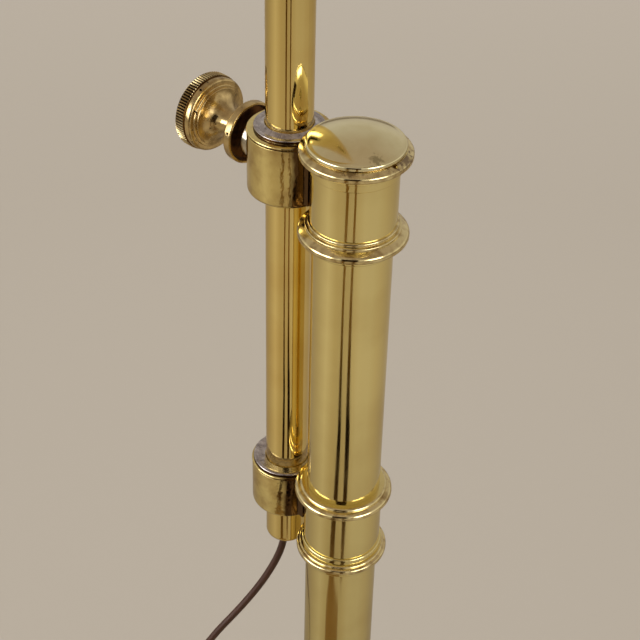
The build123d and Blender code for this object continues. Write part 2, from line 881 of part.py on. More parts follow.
def coil_gap(edges):
    """Least distance of the coil's turns from each other, less the cord's thickness."""
    steps = 12
    points = [edge @ (step / steps) for edge in edges for step in range(steps)]
    apart = 2 * steps
    return min((a - b).length for i, a in enumerate(points) for b in points[i + apart:]) - 2 * cord_radius


def make_cord_coil():
    edges = coil_path()
    path = Wire([part.edge() for part in edges])
    start = Plane(origin=edges[0] @ 0, z_dir=edges[0] % 0)
    tube = sweep(start * Circle(cord_radius), path=path)
    print("coil half turns", len(coil_half_turns()), "length", round(path.length, 1),
          "least gap to itself", round(coil_gap(edges), 2),
          "volume over section times length", section_share(tube, path.length))
    return tube


def coil_end():
    """Side place and height of the coil's end, which runs back towards the lamp."""
    middle, radius, side, height, climb = coil_half_turns()[-1]
    return middle + side * radius, height


def make_cord_drop():
    return cord_tube("cord_drop", [cord_point(*point) for point in cord_route])


def make_cord_tail():
    last, height = coil_end()
    points = [coil_place(-coil_tail - run, last, height + rise) for run, rise in tail_route]
    return cord_tube("cord_tail", points)


def coil_frame():
    """Frame at the point where the cord meets the coil, with X along the cord and the coil on the -Y side."""
    along = Vector(*coil_place(coil_tail, 0, 0)) - Vector(*coil_place(0, 0, 0))
    return Plane(origin=coil_place(0, 0, 0), x_dir=along, z_dir=(0, 0, 1))


def make_coil_tie():
    """Strap round the turns, on the far side from where the cord comes in."""
    inner = min(middle + radius for middle, radius, side, height, climb in coil_half_turns() if side > 0)
    outer = max(middle + radius for middle, radius, side, height, climb in coil_half_turns())
    near = inner - cord_radius - tie_play
    far = outer + cord_radius + tie_play
    low = tie_floor + tie_thickness
    high = coil_height + coil_step * (coil_layers - 1) + cord_radius + tie_play
    hole = Box(tie_width + 2 * overrun, far - near, high - low)
    block = Box(tie_width, far - near + 2 * tie_thickness, high - low + 2 * tie_thickness)
    return coil_frame() * (Pos(0, -(near + far) / 2, (low + high) / 2) * (block - hole))


def plug_place(shape):
    """Shape moved from the origin, where it points along +X, to the end of the cord's tail."""
    last, height = coil_end()
    run, rise = tail_route[-1]
    start = coil_place(-coil_tail - run, last, height + rise)
    back = Vector(*coil_place(-coil_tail, 0, 0)) - Vector(*coil_place(0, 0, 0))
    return Plane(origin=start, x_dir=back, z_dir=(0, 0, 1)) * shape


def make_plug_body():
    block = Box(plug_length, plug_width, plug_thickness, align=(Align.MIN, Align.CENTER, Align.CENTER))
    block = fillet(block.edges().filter_by(Axis.X), plug_round)
    relief = Rot(0, quarter_turn, 0) * cone(relief_end_radius, relief_start_radius, 0, relief_length)
    relief -= Rot(0, quarter_turn, 0) * disc(cord_radius + running_fit, -overrun, cord_radius)
    body = relief + Pos(relief_length, 0, 0) * block
    for side in (-1, 1):
        slot = Pos(relief_length + plug_length, side * pin_apart / 2, 0)
        body -= slot * Box(2 * pin_width, pin_thickness, pin_width)
    return plug_place(body)


def make_plug_pins():
    start = relief_length + plug_length - pin_width
    pins = [Pos(start, side * pin_apart / 2, 0) * Box(pin_width + pin_length, pin_thickness, pin_width,
                                                      align=(Align.MIN, Align.CENTER, Align.CENTER))
            for side in (-1, 1)]
    return plug_place(Compound(children=pins))


parts = {
    "base_felt": make_base_felt,
    "base_weight": make_base_weight,
    "base_shell": make_base_shell,
    "base_washer": make_base_washer,
    "base_nut": make_base_nut,
    "column_foot": make_column_foot,
    "column_tube": make_column_tube,
    "upper_sleeve": make_upper_sleeve,
    "lower_sleeve": make_lower_sleeve,
    "column_cap": make_column_cap,
    "upper_collar": make_upper_collar,
    "lower_collar": make_lower_collar,
    "upper_bush": make_upper_bush,
    "lower_bush": make_lower_bush,
    "screw_boss": make_screw_boss,
    "clamp_pad": make_clamp_pad,
    "thumbscrew_stud": make_thumbscrew_stud,
    "thumbscrew_head": make_thumbscrew_head,
    "cord_bush": make_cord_bush,
    "rod_end": make_rod_end,
    "rod_tube": make_rod_tube,
    "rod_wire": make_rod_wire,
    "rod_fork": make_rod_fork,
    "rod_pivot_screw": lambda: at_rod_pivot(pivot_screw_shape()),
    "rod_pivot_nut": lambda: at_rod_pivot(pivot_nut_shape()),
    "rod_washers": lambda: at_rod_pivot(washers_shape()),
    "arm_tongue": make_arm_tongue,
    "arm_tube": make_arm_tube,
    "arm_wire": make_arm_wire,
    "arm_fork": make_arm_fork,
    "head_pivot_screw": lambda: at_head_pivot(pivot_screw_shape()),
    "head_pivot_nut": lambda: at_head_pivot(pivot_nut_shape()),
    "head_washers": lambda: at_head_pivot(washers_shape()),
    "head_tongue": make_head_tongue,
    "socket_cap": make_socket_cap,
    "socket_locknut": make_socket_locknut,
    "socket_shell": make_socket_shell,
    "switch_body": make_switch_body,
    "switch_nut": make_switch_nut,
    "switch_spindle": make_switch_spindle,
    "switch_knob": make_switch_knob,
    "lampholder": make_lampholder,
    "screw_shell": make_screw_shell,
    "centre_contact": make_centre_contact,
    "bulb_cap": make_bulb_cap,
    "bulb_glass": make_bulb_glass,
    "shade": make_shade,
    "shade_ring": make_shade_ring,
    "cord_drop": make_cord_drop,
    "cord_coil": make_cord_coil,
    "cord_tail": make_cord_tail,
    "coil_tie": make_coil_tie,
    "plug_body": make_plug_body,
    "plug_pins": make_plug_pins,
}

os.makedirs("parts", exist_ok=True)
for node, make in parts.items():
    export_step(make(), f"parts/{node}.step")
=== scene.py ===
import json
from math import asin, atan2, ceil, cos, hypot, pi, radians, sin, tan, tau

import bpy
from mathutils import Matrix, Vector


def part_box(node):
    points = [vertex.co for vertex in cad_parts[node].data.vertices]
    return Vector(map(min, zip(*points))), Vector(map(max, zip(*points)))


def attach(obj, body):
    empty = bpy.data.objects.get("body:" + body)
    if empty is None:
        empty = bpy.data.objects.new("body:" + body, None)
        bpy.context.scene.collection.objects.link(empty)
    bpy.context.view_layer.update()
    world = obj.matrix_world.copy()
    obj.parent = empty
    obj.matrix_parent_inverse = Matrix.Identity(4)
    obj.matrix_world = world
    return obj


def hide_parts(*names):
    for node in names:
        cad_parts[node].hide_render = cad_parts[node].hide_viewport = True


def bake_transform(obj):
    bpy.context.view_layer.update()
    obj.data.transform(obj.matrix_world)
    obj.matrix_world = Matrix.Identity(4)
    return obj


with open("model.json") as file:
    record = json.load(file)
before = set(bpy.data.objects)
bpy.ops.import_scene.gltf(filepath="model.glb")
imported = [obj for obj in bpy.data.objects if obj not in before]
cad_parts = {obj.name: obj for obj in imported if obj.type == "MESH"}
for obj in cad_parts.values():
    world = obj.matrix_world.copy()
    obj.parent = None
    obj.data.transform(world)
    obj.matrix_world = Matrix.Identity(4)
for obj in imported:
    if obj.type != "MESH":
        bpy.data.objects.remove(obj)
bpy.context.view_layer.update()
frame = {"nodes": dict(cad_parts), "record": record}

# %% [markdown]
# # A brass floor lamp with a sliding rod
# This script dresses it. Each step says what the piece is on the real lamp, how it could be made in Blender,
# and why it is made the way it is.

mm = 0.001
bpy.context.scene.view_settings.view_transform = "Standard"
record = frame["record"]
body_of = {node: body for body, nodes in record["behaviour"]["bodies"].items() for node in nodes}
slot_of = {part["node"]: part["material_slot"] for part in record["subparts"]}
rod_x = (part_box("rod_tube")[0].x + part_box("rod_tube")[1].x) / 2
rod_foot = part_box("rod_end")[0].z
bead_half = 2.0 * mm
bead_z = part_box("upper_sleeve")[1].z - bead_half
screw_z = (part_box("thumbscrew_head")[0].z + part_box("thumbscrew_head")[1].z) / 2
bead = Vector((0, 0, bead_z))

# %% [markdown]
# ## The photographer's place
# The lamp was photographed from close by, looking down on the joint where the slim rod slides beside the
# column. The camera could be turned until the picture looks right, but a place worked out from measured edges
# is surer: how far the eye stands from the column and above the cap's bead, and how much it looks down.

# %% Camera
# Along X and Y from the column's axis, and up from the bead, in millimetres
eye_from_bead = (266.6, -305.4, 240.5)
look_down = radians(37.19)
heading = radians(42.55)
roll = radians(1.36)
focal_length = 83.72


def new_object(name, data):
    """Object of the scene with that data."""
    made = bpy.data.objects.new(name, data)
    bpy.context.scene.collection.objects.link(made)
    return made


eye = Vector(eye_from_bead) * mm + bead
lens_data = bpy.data.cameras.new("lens")
lens_data.lens = focal_length
lens_data.sensor_width = 36.0
lens_data.clip_start = 0.01
camera = new_object("camera", lens_data)
turn = (Matrix.Rotation(heading, 4, "Z") @ Matrix.Rotation(pi / 2 - look_down, 4, "X")
        @ Matrix.Rotation(roll, 4, "Z"))
camera.matrix_world = Matrix.Translation(eye) @ turn
bpy.context.scene.camera = camera
print("camera", round((eye - bead).length, 3), "m from the cap's bead")

# %% [markdown]
# ## Helpers for nodes and colours
# Every finish is a small tree of shader nodes. A node is added with its settings and what feeds its sockets,
# so that one short function serves them all. Colours are written as they stand on a chart, in sRGB hex, and
# turned to the linear values that light is added up in.

# %% Helpers for materials
# Most of a noise texture's values lie in this range
noise_range = (0.3, 0.7)


def linear(code):
    """Linear colour with alpha from an sRGB hex code."""
    parts = [int(code[i:i + 2], 16) / 255 for i in (1, 3, 5)]
    return [p / 12.92 if p <= 0.04045 else ((p + 0.055) / 1.055) ** 2.4 for p in parts] + [1.0]


def feed(node, name, value):
    """Gives a node's input a value, or links a socket to it."""
    if isinstance(value, bpy.types.NodeSocket):
        node.id_data.links.new(value, node.inputs[name])
    else:
        node.inputs[name].default_value = value


def add_node(tree, kind, inputs=None, **settings):
    """Adds a node with its properties and what its inputs are given."""
    made = tree.nodes.new("ShaderNode" + kind)
    for name, value in settings.items():
        setattr(made, name, value)
    for name, value in (inputs or {}).items():
        feed(made, name, value)
    return made


def parts_of(material):
    """Node tree of a material, its shader, and the object's own coordinates."""
    nodes = material.node_tree.nodes
    return material.node_tree, nodes["Principled BSDF"], nodes["Texture Coordinate"].outputs["Object"]


def new_material(name):
    """Material with an unfinished shader, and its parts."""
    material = bpy.data.materials.new(name)
    material.use_nodes = True
    tree = material.node_tree
    tree.nodes.clear()
    shader = add_node(tree, "BsdfPrincipled")
    add_node(tree, "OutputMaterial", {"Surface": shader.outputs["BSDF"]})
    add_node(tree, "TexCoord")
    return material, *parts_of(material)


def blended(tree, share, first, second):
    """Colour between two others, which are hex codes or sockets."""
    mixed = add_node(tree, "Mix", {0: share}, data_type="RGBA")
    for slot, value in ((6, first), (7, second)):
        feed(mixed, slot, linear(value) if isinstance(value, str) else value)
    return mixed.outputs[2]


def recoloured(shader, share, code):
    """Blends a colour into a shader's base colour."""
    clean = shader.inputs["Base Color"].links[0].from_socket
    feed(shader, "Base Color", blended(shader.id_data, share, clean, code))


def spots(tree, place, size_mm, detail=2.0, stretch=(1, 1, 1)):
    """Noise with blotches about that many millimetres across."""
    spread = add_node(tree, "Mapping", {"Vector": place, "Scale": stretch})
    noise = {"Vector": spread.outputs["Vector"], "Scale": 1 / (size_mm * mm), "Detail": detail}
    return add_node(tree, "TexNoise", noise).outputs["Fac"]


def between(tree, value, low, high, new_low=0.0, new_high=1.0):
    """Value rescaled from one range to another and held inside it."""
    ends = {"From Min": low, "From Max": high, "To Min": new_low, "To Max": new_high}
    return add_node(tree, "MapRange", {"Value": value, **ends}).outputs["Result"]


def reckoned(tree, operation, *values):
    """Result of a math node, from values or sockets."""
    return add_node(tree, "Math", dict(enumerate(values)), operation=operation).outputs["Value"]


def times(tree, first, second):
    """Product of two values or sockets."""
    return reckoned(tree, "MULTIPLY", first, second)


def vectors(tree, operation, *values):
    """Result of a vector math node: a number for a length, a distance or a dot product."""
    made = add_node(tree, "VectorMath", dict(enumerate(values)), operation=operation)
    return made.outputs["Value" if operation in ("LENGTH", "DISTANCE", "DOT_PRODUCT") else "Vector"]


def ragged(tree, place, value, size_mm, depth, detail, stretch=(1, 1, 1)):
    """Value with noise added, so that an edge drawn from it is uneven."""
    noise = between(tree, spots(tree, place, size_mm, detail, stretch), *noise_range, -depth, depth)
    return reckoned(tree, "ADD", value, noise)


def relief(tree, height, depth_um, base=None):
    """Normal of a surface with relief, its depth in thousandths of a millimetre."""
    inputs = {"Height": height, "Strength": 1.0, "Distance": depth_um * mm * mm}
    if base:
        inputs["Normal"] = base
    return add_node(tree, "Bump", inputs).outputs["Normal"]


# %% [markdown]
# ## Polished brass
# Column, rings, collars and rod are brass: turned, polished and lacquered, so they mirror the room in a pale
# gold. A metal's colour is that of its mirror image, so the base colour is brass and the metallic value is 1.
# What makes it look real is what the years add: the lacquer is cloudy in patches, the polish has left faint
# waves that bend a reflection, and the metal is browner where fingers have been.

# %% Brass
worn_range = (0.45, 0.72)
smear_range = (0.4, 0.75)
tarnish_range = (0.42, 0.68)
tarnish_share = 0.6
pit_mm = 1.6
pit_range = (0.3, 0.24)
pit_depth_um = 60.0
pitted_shine = (0.16, 0.34)
stain_roughness = 0.4


def brass(name, gold, worn, patch_mm=26.0, gloss=0.07, haze=0.15, wave_mm=9.0, wave_um=3.0, wear=0.4,
          stretch=(1, 1, 0.35)):
    """Lacquered brass: gold where clean, worn in patches, with waves from the polishing."""
    material, tree, shader, place = new_material(name)
    patches = spots(tree, place, patch_mm, detail=6.0)
    share = times(tree, between(tree, patches, *worn_range), wear)
    feed(shader, "Base Color", blended(tree, share, gold, worn))
    smears = spots(tree, place, patch_mm / 3, detail=8.0, stretch=stretch)
    feed(shader, "Roughness", between(tree, smears, *smear_range, gloss, haze))
    waves = spots(tree, place, wave_mm, detail=1.5, stretch=stretch)
    feed(shader, "Normal", relief(tree, waves, wave_um))
    feed(shader, "Metallic", 1.0)
    return material


def pitted_brass(name, gold, brown):
    """Brass without lacquer: brown in its pits, gold where hands keep it bright."""
    material, tree, shader, place = new_material(name)
    tarnish = between(tree, spots(tree, place, 4.0, detail=7.0), *tarnish_range)
    pits = between(tree, spots(tree, place, pit_mm, detail=1.0), *pit_range)
    bright = blended(tree, times(tree, tarnish, tarnish_share), gold, brown)
    feed(shader, "Base Color", blended(tree, pits, bright, "#2A1C0E"))
    feed(shader, "Roughness", between(tree, tarnish, 0, 1, *pitted_shine))
    waves = relief(tree, spots(tree, place, 2.4, detail=2.0), 18.0)
    feed(shader, "Normal", relief(tree, pits, -pit_depth_um, waves))
    feed(shader, "Metallic", 1.0)
    return material


def darkened_towards(material, start, end, brown):
    """Darkens a brass from one place to another, with a ragged edge."""
    tree, shader, place = parts_of(material)
    way = Vector(end) - Vector(start)
    offset = vectors(tree, "SUBTRACT", place, start)
    along = vectors(tree, "DOT_PRODUCT", offset, way / way.length_squared)
    edge = ragged(tree, place, along, 4.0, 0.35, 5.0, stretch=(1, 1, 0.3))
    recoloured(shader, between(tree, edge, 0.2, 0.8), brown)


def stain_and_painted_reflection(material, middle, size_mm, brown, share=0.7):
    """Dull patch round a place, with sizes along X, Y and Z, that breaks up towards its edge: a stain, and at
    one place a painted reflection.
    """
    tree, shader, place = parts_of(material)
    offset = vectors(tree, "SUBTRACT", place, middle)
    scaled = vectors(tree, "MULTIPLY", offset, [1 / (side * mm) for side in size_mm])
    edge = ragged(tree, place, vectors(tree, "LENGTH", scaled), 1.1, 0.6, 6.0)
    amount = times(tree, between(tree, edge, 1.0, 0.4), share)
    recoloured(shader, amount, brown)
    shine = shader.inputs["Roughness"].links[0].from_socket
    dulled = add_node(tree, "Mix", {0: amount, 2: shine, 3: stain_roughness})
    feed(shader, "Roughness", dulled.outputs[0])


def round_the_cap(radius, degrees, height):
    """Place round the cap, its angle counted to the right of the camera, its height from the bead."""
    angle = atan2(eye.y, eye.x) + radians(degrees)
    return (radius * mm * cos(angle), radius * mm * sin(angle), bead_z + height * mm)


column_brass = brass("lacquered_brass", "#F2E29E", "#D6BE7C")
cap_brass = brass("cloudy_lacquered_brass", "#F4EABC", "#D8C68C", patch_mm=9.0, gloss=0.08, haze=0.19,
                  wave_um=4.0)
stain_and_painted_reflection(cap_brass, round_the_cap(14.0, 27, 4.5), (2.4, 2.4, 2.0), "#8A8058", share=0.6)
rod_brass = brass("amber_lacquered_brass", "#F4DC90", "#D6B060", gloss=0.05, haze=0.11)
# The side of a collar that faces the column, across the narrow gap, is coloured dark brown beyond these
# reaches from the rod's axis
gold_reach = {"upper_collar": 9.4, "lower_collar": 7.4}
darkening_width = 2.0
collar_brass = {}
for name, reach in gold_reach.items():
    worn = brass(name + "_worn_brass", "#EEDB94", "#A88450", patch_mm=7.0, gloss=0.1, haze=0.2, wave_mm=2.1,
                 wave_um=120.0, wear=0.6, stretch=(1, 1, 0.8))
    start, end = (rod_x + away * mm for away in (reach, reach + darkening_width))
    darkened_towards(worn, (start, 0, 0), (end, 0, 0), "#5A4226")
    collar_brass[name] = worn
ring_brass = brass("cast_ring_brass", "#EEDDA6", "#A5895A", patch_mm=3.5, gloss=0.1, haze=0.22, wave_mm=2.5,
                   wave_um=10.0, wear=0.9, stretch=(1, 1, 1))
stain_and_painted_reflection(ring_brass, round_the_cap(16.3, -6, 1.9), (4.6, 3.4, 1.0), "#6E5234")
# A dull flaw on the bead's top at its right, painted grey like the grey room it mirrors: partly a painted
# reflection
stain_and_painted_reflection(ring_brass, round_the_cap(16.4, 64, 1.9), (3.6, 8.0, 2.4), "#84705C", share=0.85)
screw_brass = pitted_brass("tarnished_brass", "#D8BE86", "#64441F")
knurl_brass = pitted_brass("knurled_brass", "#DCC692", "#6C5030")
cup_brass = brass("brown_brass", "#6E4A28", "#3A2413", patch_mm=2.0, gloss=0.3, haze=0.5, wave_mm=1.2,
                  wave_um=14.0, wear=0.9)
groove_brass = brass("darkened_brass", "#8A6A3A", "#4A3419", patch_mm=3.0, gloss=0.2, haze=0.4, wave_mm=1.5,
                     wave_um=8.0, wear=0.9)
# Painted shade and a painted dark reflection, for the side of each bush's rim
painted_rim_shade = brass("rim_painted_shade_and_reflection", "#4A3018", "#1E130A", patch_mm=3.0, gloss=0.3, haze=0.5, wave_mm=1.5,
                     wave_um=12.0, wear=0.9)
print(len(bpy.data.materials), "materials so far")

# %% [markdown]
# ## Plainer materials
# The bushes are a grey white metal, dull from turning. The screw's boss is nickel. The cord has a dark brown
# plastic sheath with a soft shine, and its plug is moulded from the same. Each varies a little in shade, as
# even a new moulding does.

# %% Other metals, plastics, glass and felt
def plain(name, first, second, size_mm, rough=(0.3, 0.5), metal=0.0, grain_mm=0.6, grain_um=6.0):
    """Surface with two close shades, an uneven shine and a fine grain."""
    material, tree, shader, place = new_material(name)
    blotches = spots(tree, place, size_mm, detail=5.0)
    share = between(tree, blotches, *noise_range)
    feed(shader, "Base Color", blended(tree, share, first, second))
    feed(shader, "Roughness", between(tree, blotches, *noise_range, *rough))
    grain = spots(tree, place, grain_mm, detail=3.0)
    feed(shader, "Normal", relief(tree, grain, grain_um))
    feed(shader, "Metallic", metal)
    return material


pewter = plain("turned_white_metal", "#DAD3D0", "#9C9494", 2.0, (0.14, 0.3), 1.0, grain_mm=0.7, grain_um=14.0)
nickel = plain("nickel_plate", "#E4DDCB", "#BBAF97", 4.0, (0.1, 0.22), 1.0)
steel = plain("zinc_plated_steel", "#B9B9B6", "#94948F", 3.0, (0.25, 0.4), 1.0)
iron = plain("painted_cast_iron", "#242322", "#33302E", 8.0, (0.5, 0.7), grain_mm=1.5, grain_um=60.0)
felt = plain("green_felt", "#26382C", "#31463A", 1.2, (0.9, 1.0), grain_mm=0.4, grain_um=80.0)
cord_sheath = plain("brown_cord_sheath", "#3C2016", "#4A2B1F", 6.0, (0.38, 0.5))
moulding = plain("brown_moulded_plastic", "#33211B", "#3E2A22", 10.0, (0.35, 0.5))
dark_plastic = plain("black_phenolic", "#1F1A18", "#2A2421", 6.0, (0.3, 0.45))
porcelain = plain("glazed_porcelain", "#E9E6DC", "#DDD9CC", 12.0, (0.12, 0.2))
tie_wrap = plain("black_tie", "#1C1A19", "#262322", 3.0, (0.4, 0.55))
bulb_white = plain("frosted_bulb", "#F1EEE6", "#E7E3D8", 20.0, (0.3, 0.4))
shade_white = plain("white_stove_enamel", "#EDEAE0", "#E2DED1", 30.0, (0.25, 0.4), grain_mm=2, grain_um=10)

# %% Finishes of the engineer's pieces
finish_of = {
    "polished_brass": column_brass, "amber_brass": rod_brass, "aged_brass": screw_brass, "pewter": pewter,
    "nickel": nickel, "steel": steel, "cast_iron": iron, "felt": felt, "cord": cord_sheath, "tie": tie_wrap,
    "plug": moulding, "moulding": dark_plastic, "porcelain": porcelain, "bulb": bulb_white,
}
for name, node in frame["nodes"].items():
    node.data.materials.clear()
    node.data.materials.append(finish_of[slot_of[name]])
print(len(slot_of), "pieces of the working model have a finish")

# %% [markdown]
# ## A lathe
# Nearly every piece of this lamp was turned on a lathe, and is made the same way here. A circle is extruded
# along an outline, and each new ring of points is resized to the outline's radius. A sharp corner looks
# drawn, so a corner may have a rounding: a short arc takes its place and catches the light.

# %% Lathe
arc_step = radians(11)
crease_angle = radians(32)
weld_distance = 0.001 * mm


def softened(outline):
    """Outline of (radius, height) with an arc at each corner that has a rounding."""
    points = []
    for i, (radius, height, *rounding) in enumerate(outline):
        corner = Vector((radius, height))
        if not rounding:
            points.append(corner)
            continue
        before = (Vector(outline[i - 1][:2]) - corner).normalized()
        after = (Vector(outline[i + 1][:2]) - corner).normalized()
        half = before.angle(after) / 2
        centre = corner + (before + after).normalized() * rounding[0] / sin(half)
        start = corner + before * rounding[0] / tan(half) - centre
        side = 1 if before.x * after.y - before.y * after.x < 0 else -1
        steps = max(2, ceil((pi - 2 * half) / arc_step))
        for step in range(steps + 1):
            points.append(centre + Matrix.Rotation(side * (pi - 2 * half) * step / steps, 2) @ start)
    return points


def bow(start, control, end, steps=8):
    """Points of a curve from start to end that bends towards the control point."""
    curve_points = []
    for step in range(steps + 1):
        t = step / steps
        curve_points.append(tuple((1 - t) ** 2 * a + 2 * t * (1 - t) * b + t ** 2 * c
                                  for a, b, c in zip(start, control, end)))
    return curve_points


def arc_through(start, middle, end, steps):
    """Points of the arc that passes through three points."""
    a, b, c = Vector(start), Vector(middle) - Vector(start), Vector(end) - Vector(start)
    twice = 2 * (b.x * c.y - b.y * c.x)
    centre = a + Vector((c.y * b.length_squared - b.y * c.length_squared,
                         b.x * c.length_squared - c.x * b.length_squared)) / twice
    arm = a - centre
    first = atan2(arm.y, arm.x)
    sweep = atan2(end[1] - centre.y, end[0] - centre.x) - first
    sweep = (sweep + pi) % tau - pi
    return [(centre.x + arm.length * cos(first + sweep * step / steps),
             centre.y + arm.length * sin(first + sweep * step / steps)) for step in range(steps + 1)]


def turned(name, outline, finish=column_brass, segments=192, loop=True):
    """Piece turned about Z from an outline in millimetres: a loop, or else a line that is closed flat."""
    points = softened(outline)
    if loop:
        points.append(points[0])
    bpy.ops.mesh.primitive_circle_add(vertices=segments, radius=points[0].x * mm, location=(0, 0, 0))
    piece = bpy.context.object
    piece.name = name
    bpy.ops.object.mode_set(mode="EDIT")
    bpy.ops.mesh.select_all(action="SELECT")
    bpy.ops.transform.translate(value=(0, 0, points[0].y * mm))
    for old, new in zip(points, points[1:]):
        bpy.ops.mesh.extrude_region_move(TRANSFORM_OT_translate={"value": (0, 0, (new.y - old.y) * mm)})
        scale = new.x / old.x
        bpy.ops.transform.resize(value=(scale, scale, 1), center_override=(0, 0, new.y * mm))
    bpy.ops.mesh.select_all(action="SELECT")
    bpy.ops.mesh.remove_doubles(threshold=weld_distance)
    if not loop:
        bpy.ops.mesh.select_all(action="DESELECT")
        bpy.ops.mesh.select_non_manifold()
        bpy.ops.mesh.fill_holes(sides=0)
    bpy.ops.mesh.select_all(action="SELECT")
    bpy.ops.mesh.normals_make_consistent(inside=False)
    bpy.ops.object.mode_set(mode="OBJECT")
    piece.data.materials.append(finish)
    return piece


def only(piece):
    """Makes a piece the active one and selects nothing else."""
    bpy.ops.object.select_all(action="DESELECT")
    bpy.context.view_layer.objects.active = piece
    piece.select_set(True)


def moved(piece, place=(0, 0, 0), turn=(0, 0, 0)):
    """Piece turned and moved to its place, and smoothed between its creases."""
    only(piece)
    piece.rotation_euler = turn
    piece.location = place
    bpy.ops.object.transform_apply()
    bpy.ops.object.shade_smooth_by_angle(angle=crease_angle)
    return piece


def refinished(piece, finish, test):
    """Gives another finish to the faces whose radius and height, in millimetres, pass a test."""
    piece.data.materials.append(finish)
    index = len(piece.data.materials) - 1
    for face in piece.data.polygons:
        middle = face.center
        if test(hypot(middle.x, middle.y) / mm, middle.z / mm):
            face.material_index = index


def stands_for(piece, *nodes):
    """Puts the piece in place of pieces of the working model, on their body."""
    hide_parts(*nodes)
    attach(piece, body_of[nodes[0]])
    print(piece.name, len(piece.data.polygons), "faces, for", ", ".join(nodes))


# %% Shapes that join a piece or cut it
screw_hole = 3.06
drill_length = 20.0


def tool(add, **settings):
    """Shape to join or cut with, its turn, place and size kept in its mesh."""
    add(**settings)
    bpy.ops.object.transform_apply()
    return bpy.context.object


def combined(piece, other, operation):
    """Joins another shape to a piece, or cuts it out."""
    only(piece)
    modifier = piece.modifiers.new("shape", "BOOLEAN")
    modifier.operation = operation
    modifier.solver = "EXACT"
    modifier.object = other
    bpy.ops.object.modifier_apply(modifier="shape")
    bpy.data.objects.remove(other)


def nicked(piece, degrees, radius, height, size_mm):
    """Cuts a small dent that runs outward across a ring of the column."""
    place = round_the_cap(radius, degrees, height)
    dent = tool(bpy.ops.mesh.primitive_uv_sphere_add, segments=24, ring_count=12, radius=mm, scale=size_mm,
                location=place, rotation=(0, 0, atan2(place[1], place[0])))
    combined(piece, dent, "DIFFERENCE")


def drilled(piece):
    """Drills the screw's hole into a piece, from the rod's axis out."""
    middle = (rod_x - drill_length / 2 * mm, 0, screw_z)
    drill = tool(bpy.ops.mesh.primitive_cylinder_add, vertices=48, radius=screw_hole * mm,
                 depth=drill_length * mm, rotation=(0, pi / 2, 0), location=middle)
    combined(piece, drill, "DIFFERENCE")


def with_lug(piece, low, high):
    """Joins a box between two corners, in millimetres, to a piece."""
    size = [(b - a) * mm for a, b in zip(low, high)]
    middle = [(a + b) / 2 * mm for a, b in zip(low, high)]
    lug = tool(bpy.ops.mesh.primitive_cube_add, size=1, location=middle, scale=size)
    combined(piece, lug, "UNION")


# %% [markdown]
# ## Column, sleeves and cap
# The column is a tube. Two sleeves with turned rings are brazed round it, and a domed cap closes the top. The
# rings could be plain torus shapes, but on the real lamp each is a flat moulding: one or two small steps, a
# top that slopes outwards, and a rounded edge. Those steps give the fine bright and dark lines that the eye
# reads as turned metal, so each ring is a short outline of its own.

# %% Column tube
tube_radius = 13.52
tube_bore = 12.27
tube_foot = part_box("column_tube")[0].z / mm
tube_top = bead_z / mm
outline = [(tube_bore, tube_foot), (tube_radius, tube_foot), (tube_radius, tube_top), (tube_bore, tube_top)]
stands_for(moved(turned("column_tube_skin", outline)), "column_tube")

# %% Sleeves with their rings, measured from the cap's bead
sleeve_bore = 13.55
sleeve_radius = 14.4
under_radius = 15.2
under_height = 2.6
ring_below = 1.75
ring_above = 0.75
draft = 0.1
second_ring = -29.76
third_ring = -143.8
fourth_ring = -173.3
band_radius = 14.85
band_low = -6.2
band_high = -3.8
band_step = 0.4
bead_radius = 18.4
bead_low = -1.25
bead_edge = 0.75
seat_radius = 16.3
seat = 2.0


def ring_outline(middle, radius, steps, slope, lower=1, upper=1):
    """Ring from below: a collarette, a rounded edge, a sloping top, and narrower steps."""
    low = middle - ring_below
    points = [(under_radius, low - under_height, 0.5), (under_radius, low + draft)]
    points += [(radius, low + 2 * draft, lower), (radius, middle + ring_above, upper)]
    height = middle + ring_above + slope
    for step_radius, step_height, rounding in steps:
        points += [(step_radius, height), (step_radius, height + step_height, rounding)]
        height += step_height
    return points, height


def on_a_ring(radius, height):
    """Says whether a place on the upper sleeve is on the bead, or on the second ring or its steps."""
    on_a_step = second_ring < height < second_top + 1 and radius > sleeve_radius + draft
    return radius > band_radius + 0.5 or on_a_step


steps = [(15.95, 1.15, 0.4), (15.15, 1.3, 0.5)]
second, second_top = ring_outline(second_ring, 18.46, steps, 1.15, upper=1.4)
outline = [
    (sleeve_bore, second[0][1]), *second, (sleeve_radius, second_top + draft),
    (sleeve_radius, band_low - band_step), (band_radius, band_low, 0.25), (band_radius, band_high),
    (band_radius + band_step, band_high + 0.2, 0.2), (band_radius + band_step, -1.8),
    (bead_radius, bead_low, 0.9), (bead_radius, bead_edge, 1), (seat_radius, seat), (sleeve_bore, seat)]
upper_sleeve = turned("upper_sleeve_turned", outline)
refinished(upper_sleeve, ring_brass, on_a_ring)
moved(upper_sleeve, bead)
# The bead has taken a knock at its right side
nicked(upper_sleeve, 47, 16.9, 2, (2.1, 1, 0.7))
stands_for(upper_sleeve, "upper_sleeve")

fourth, fourth_top = ring_outline(fourth_ring, 17.17, [(16.1, 1, 0.7), (15.1, 2.6, 0.6)], 0.2, upper=0.9)
third, third_top = ring_outline(third_ring, 18.04, [(16.1, 1.25, 1)], 0.35, 0.6, 1.5)
outline = [
    (sleeve_bore, fourth[0][1]), *fourth, (sleeve_radius, fourth_top + draft),
    (sleeve_radius, third[0][1]), *third, (sleeve_bore, third_top + 0.05)]
lower_sleeve = turned("lower_sleeve_turned", outline)
refinished(lower_sleeve, ring_brass, lambda radius, height: radius > under_radius + draft)
stands_for(moved(lower_sleeve, bead), "lower_sleeve")

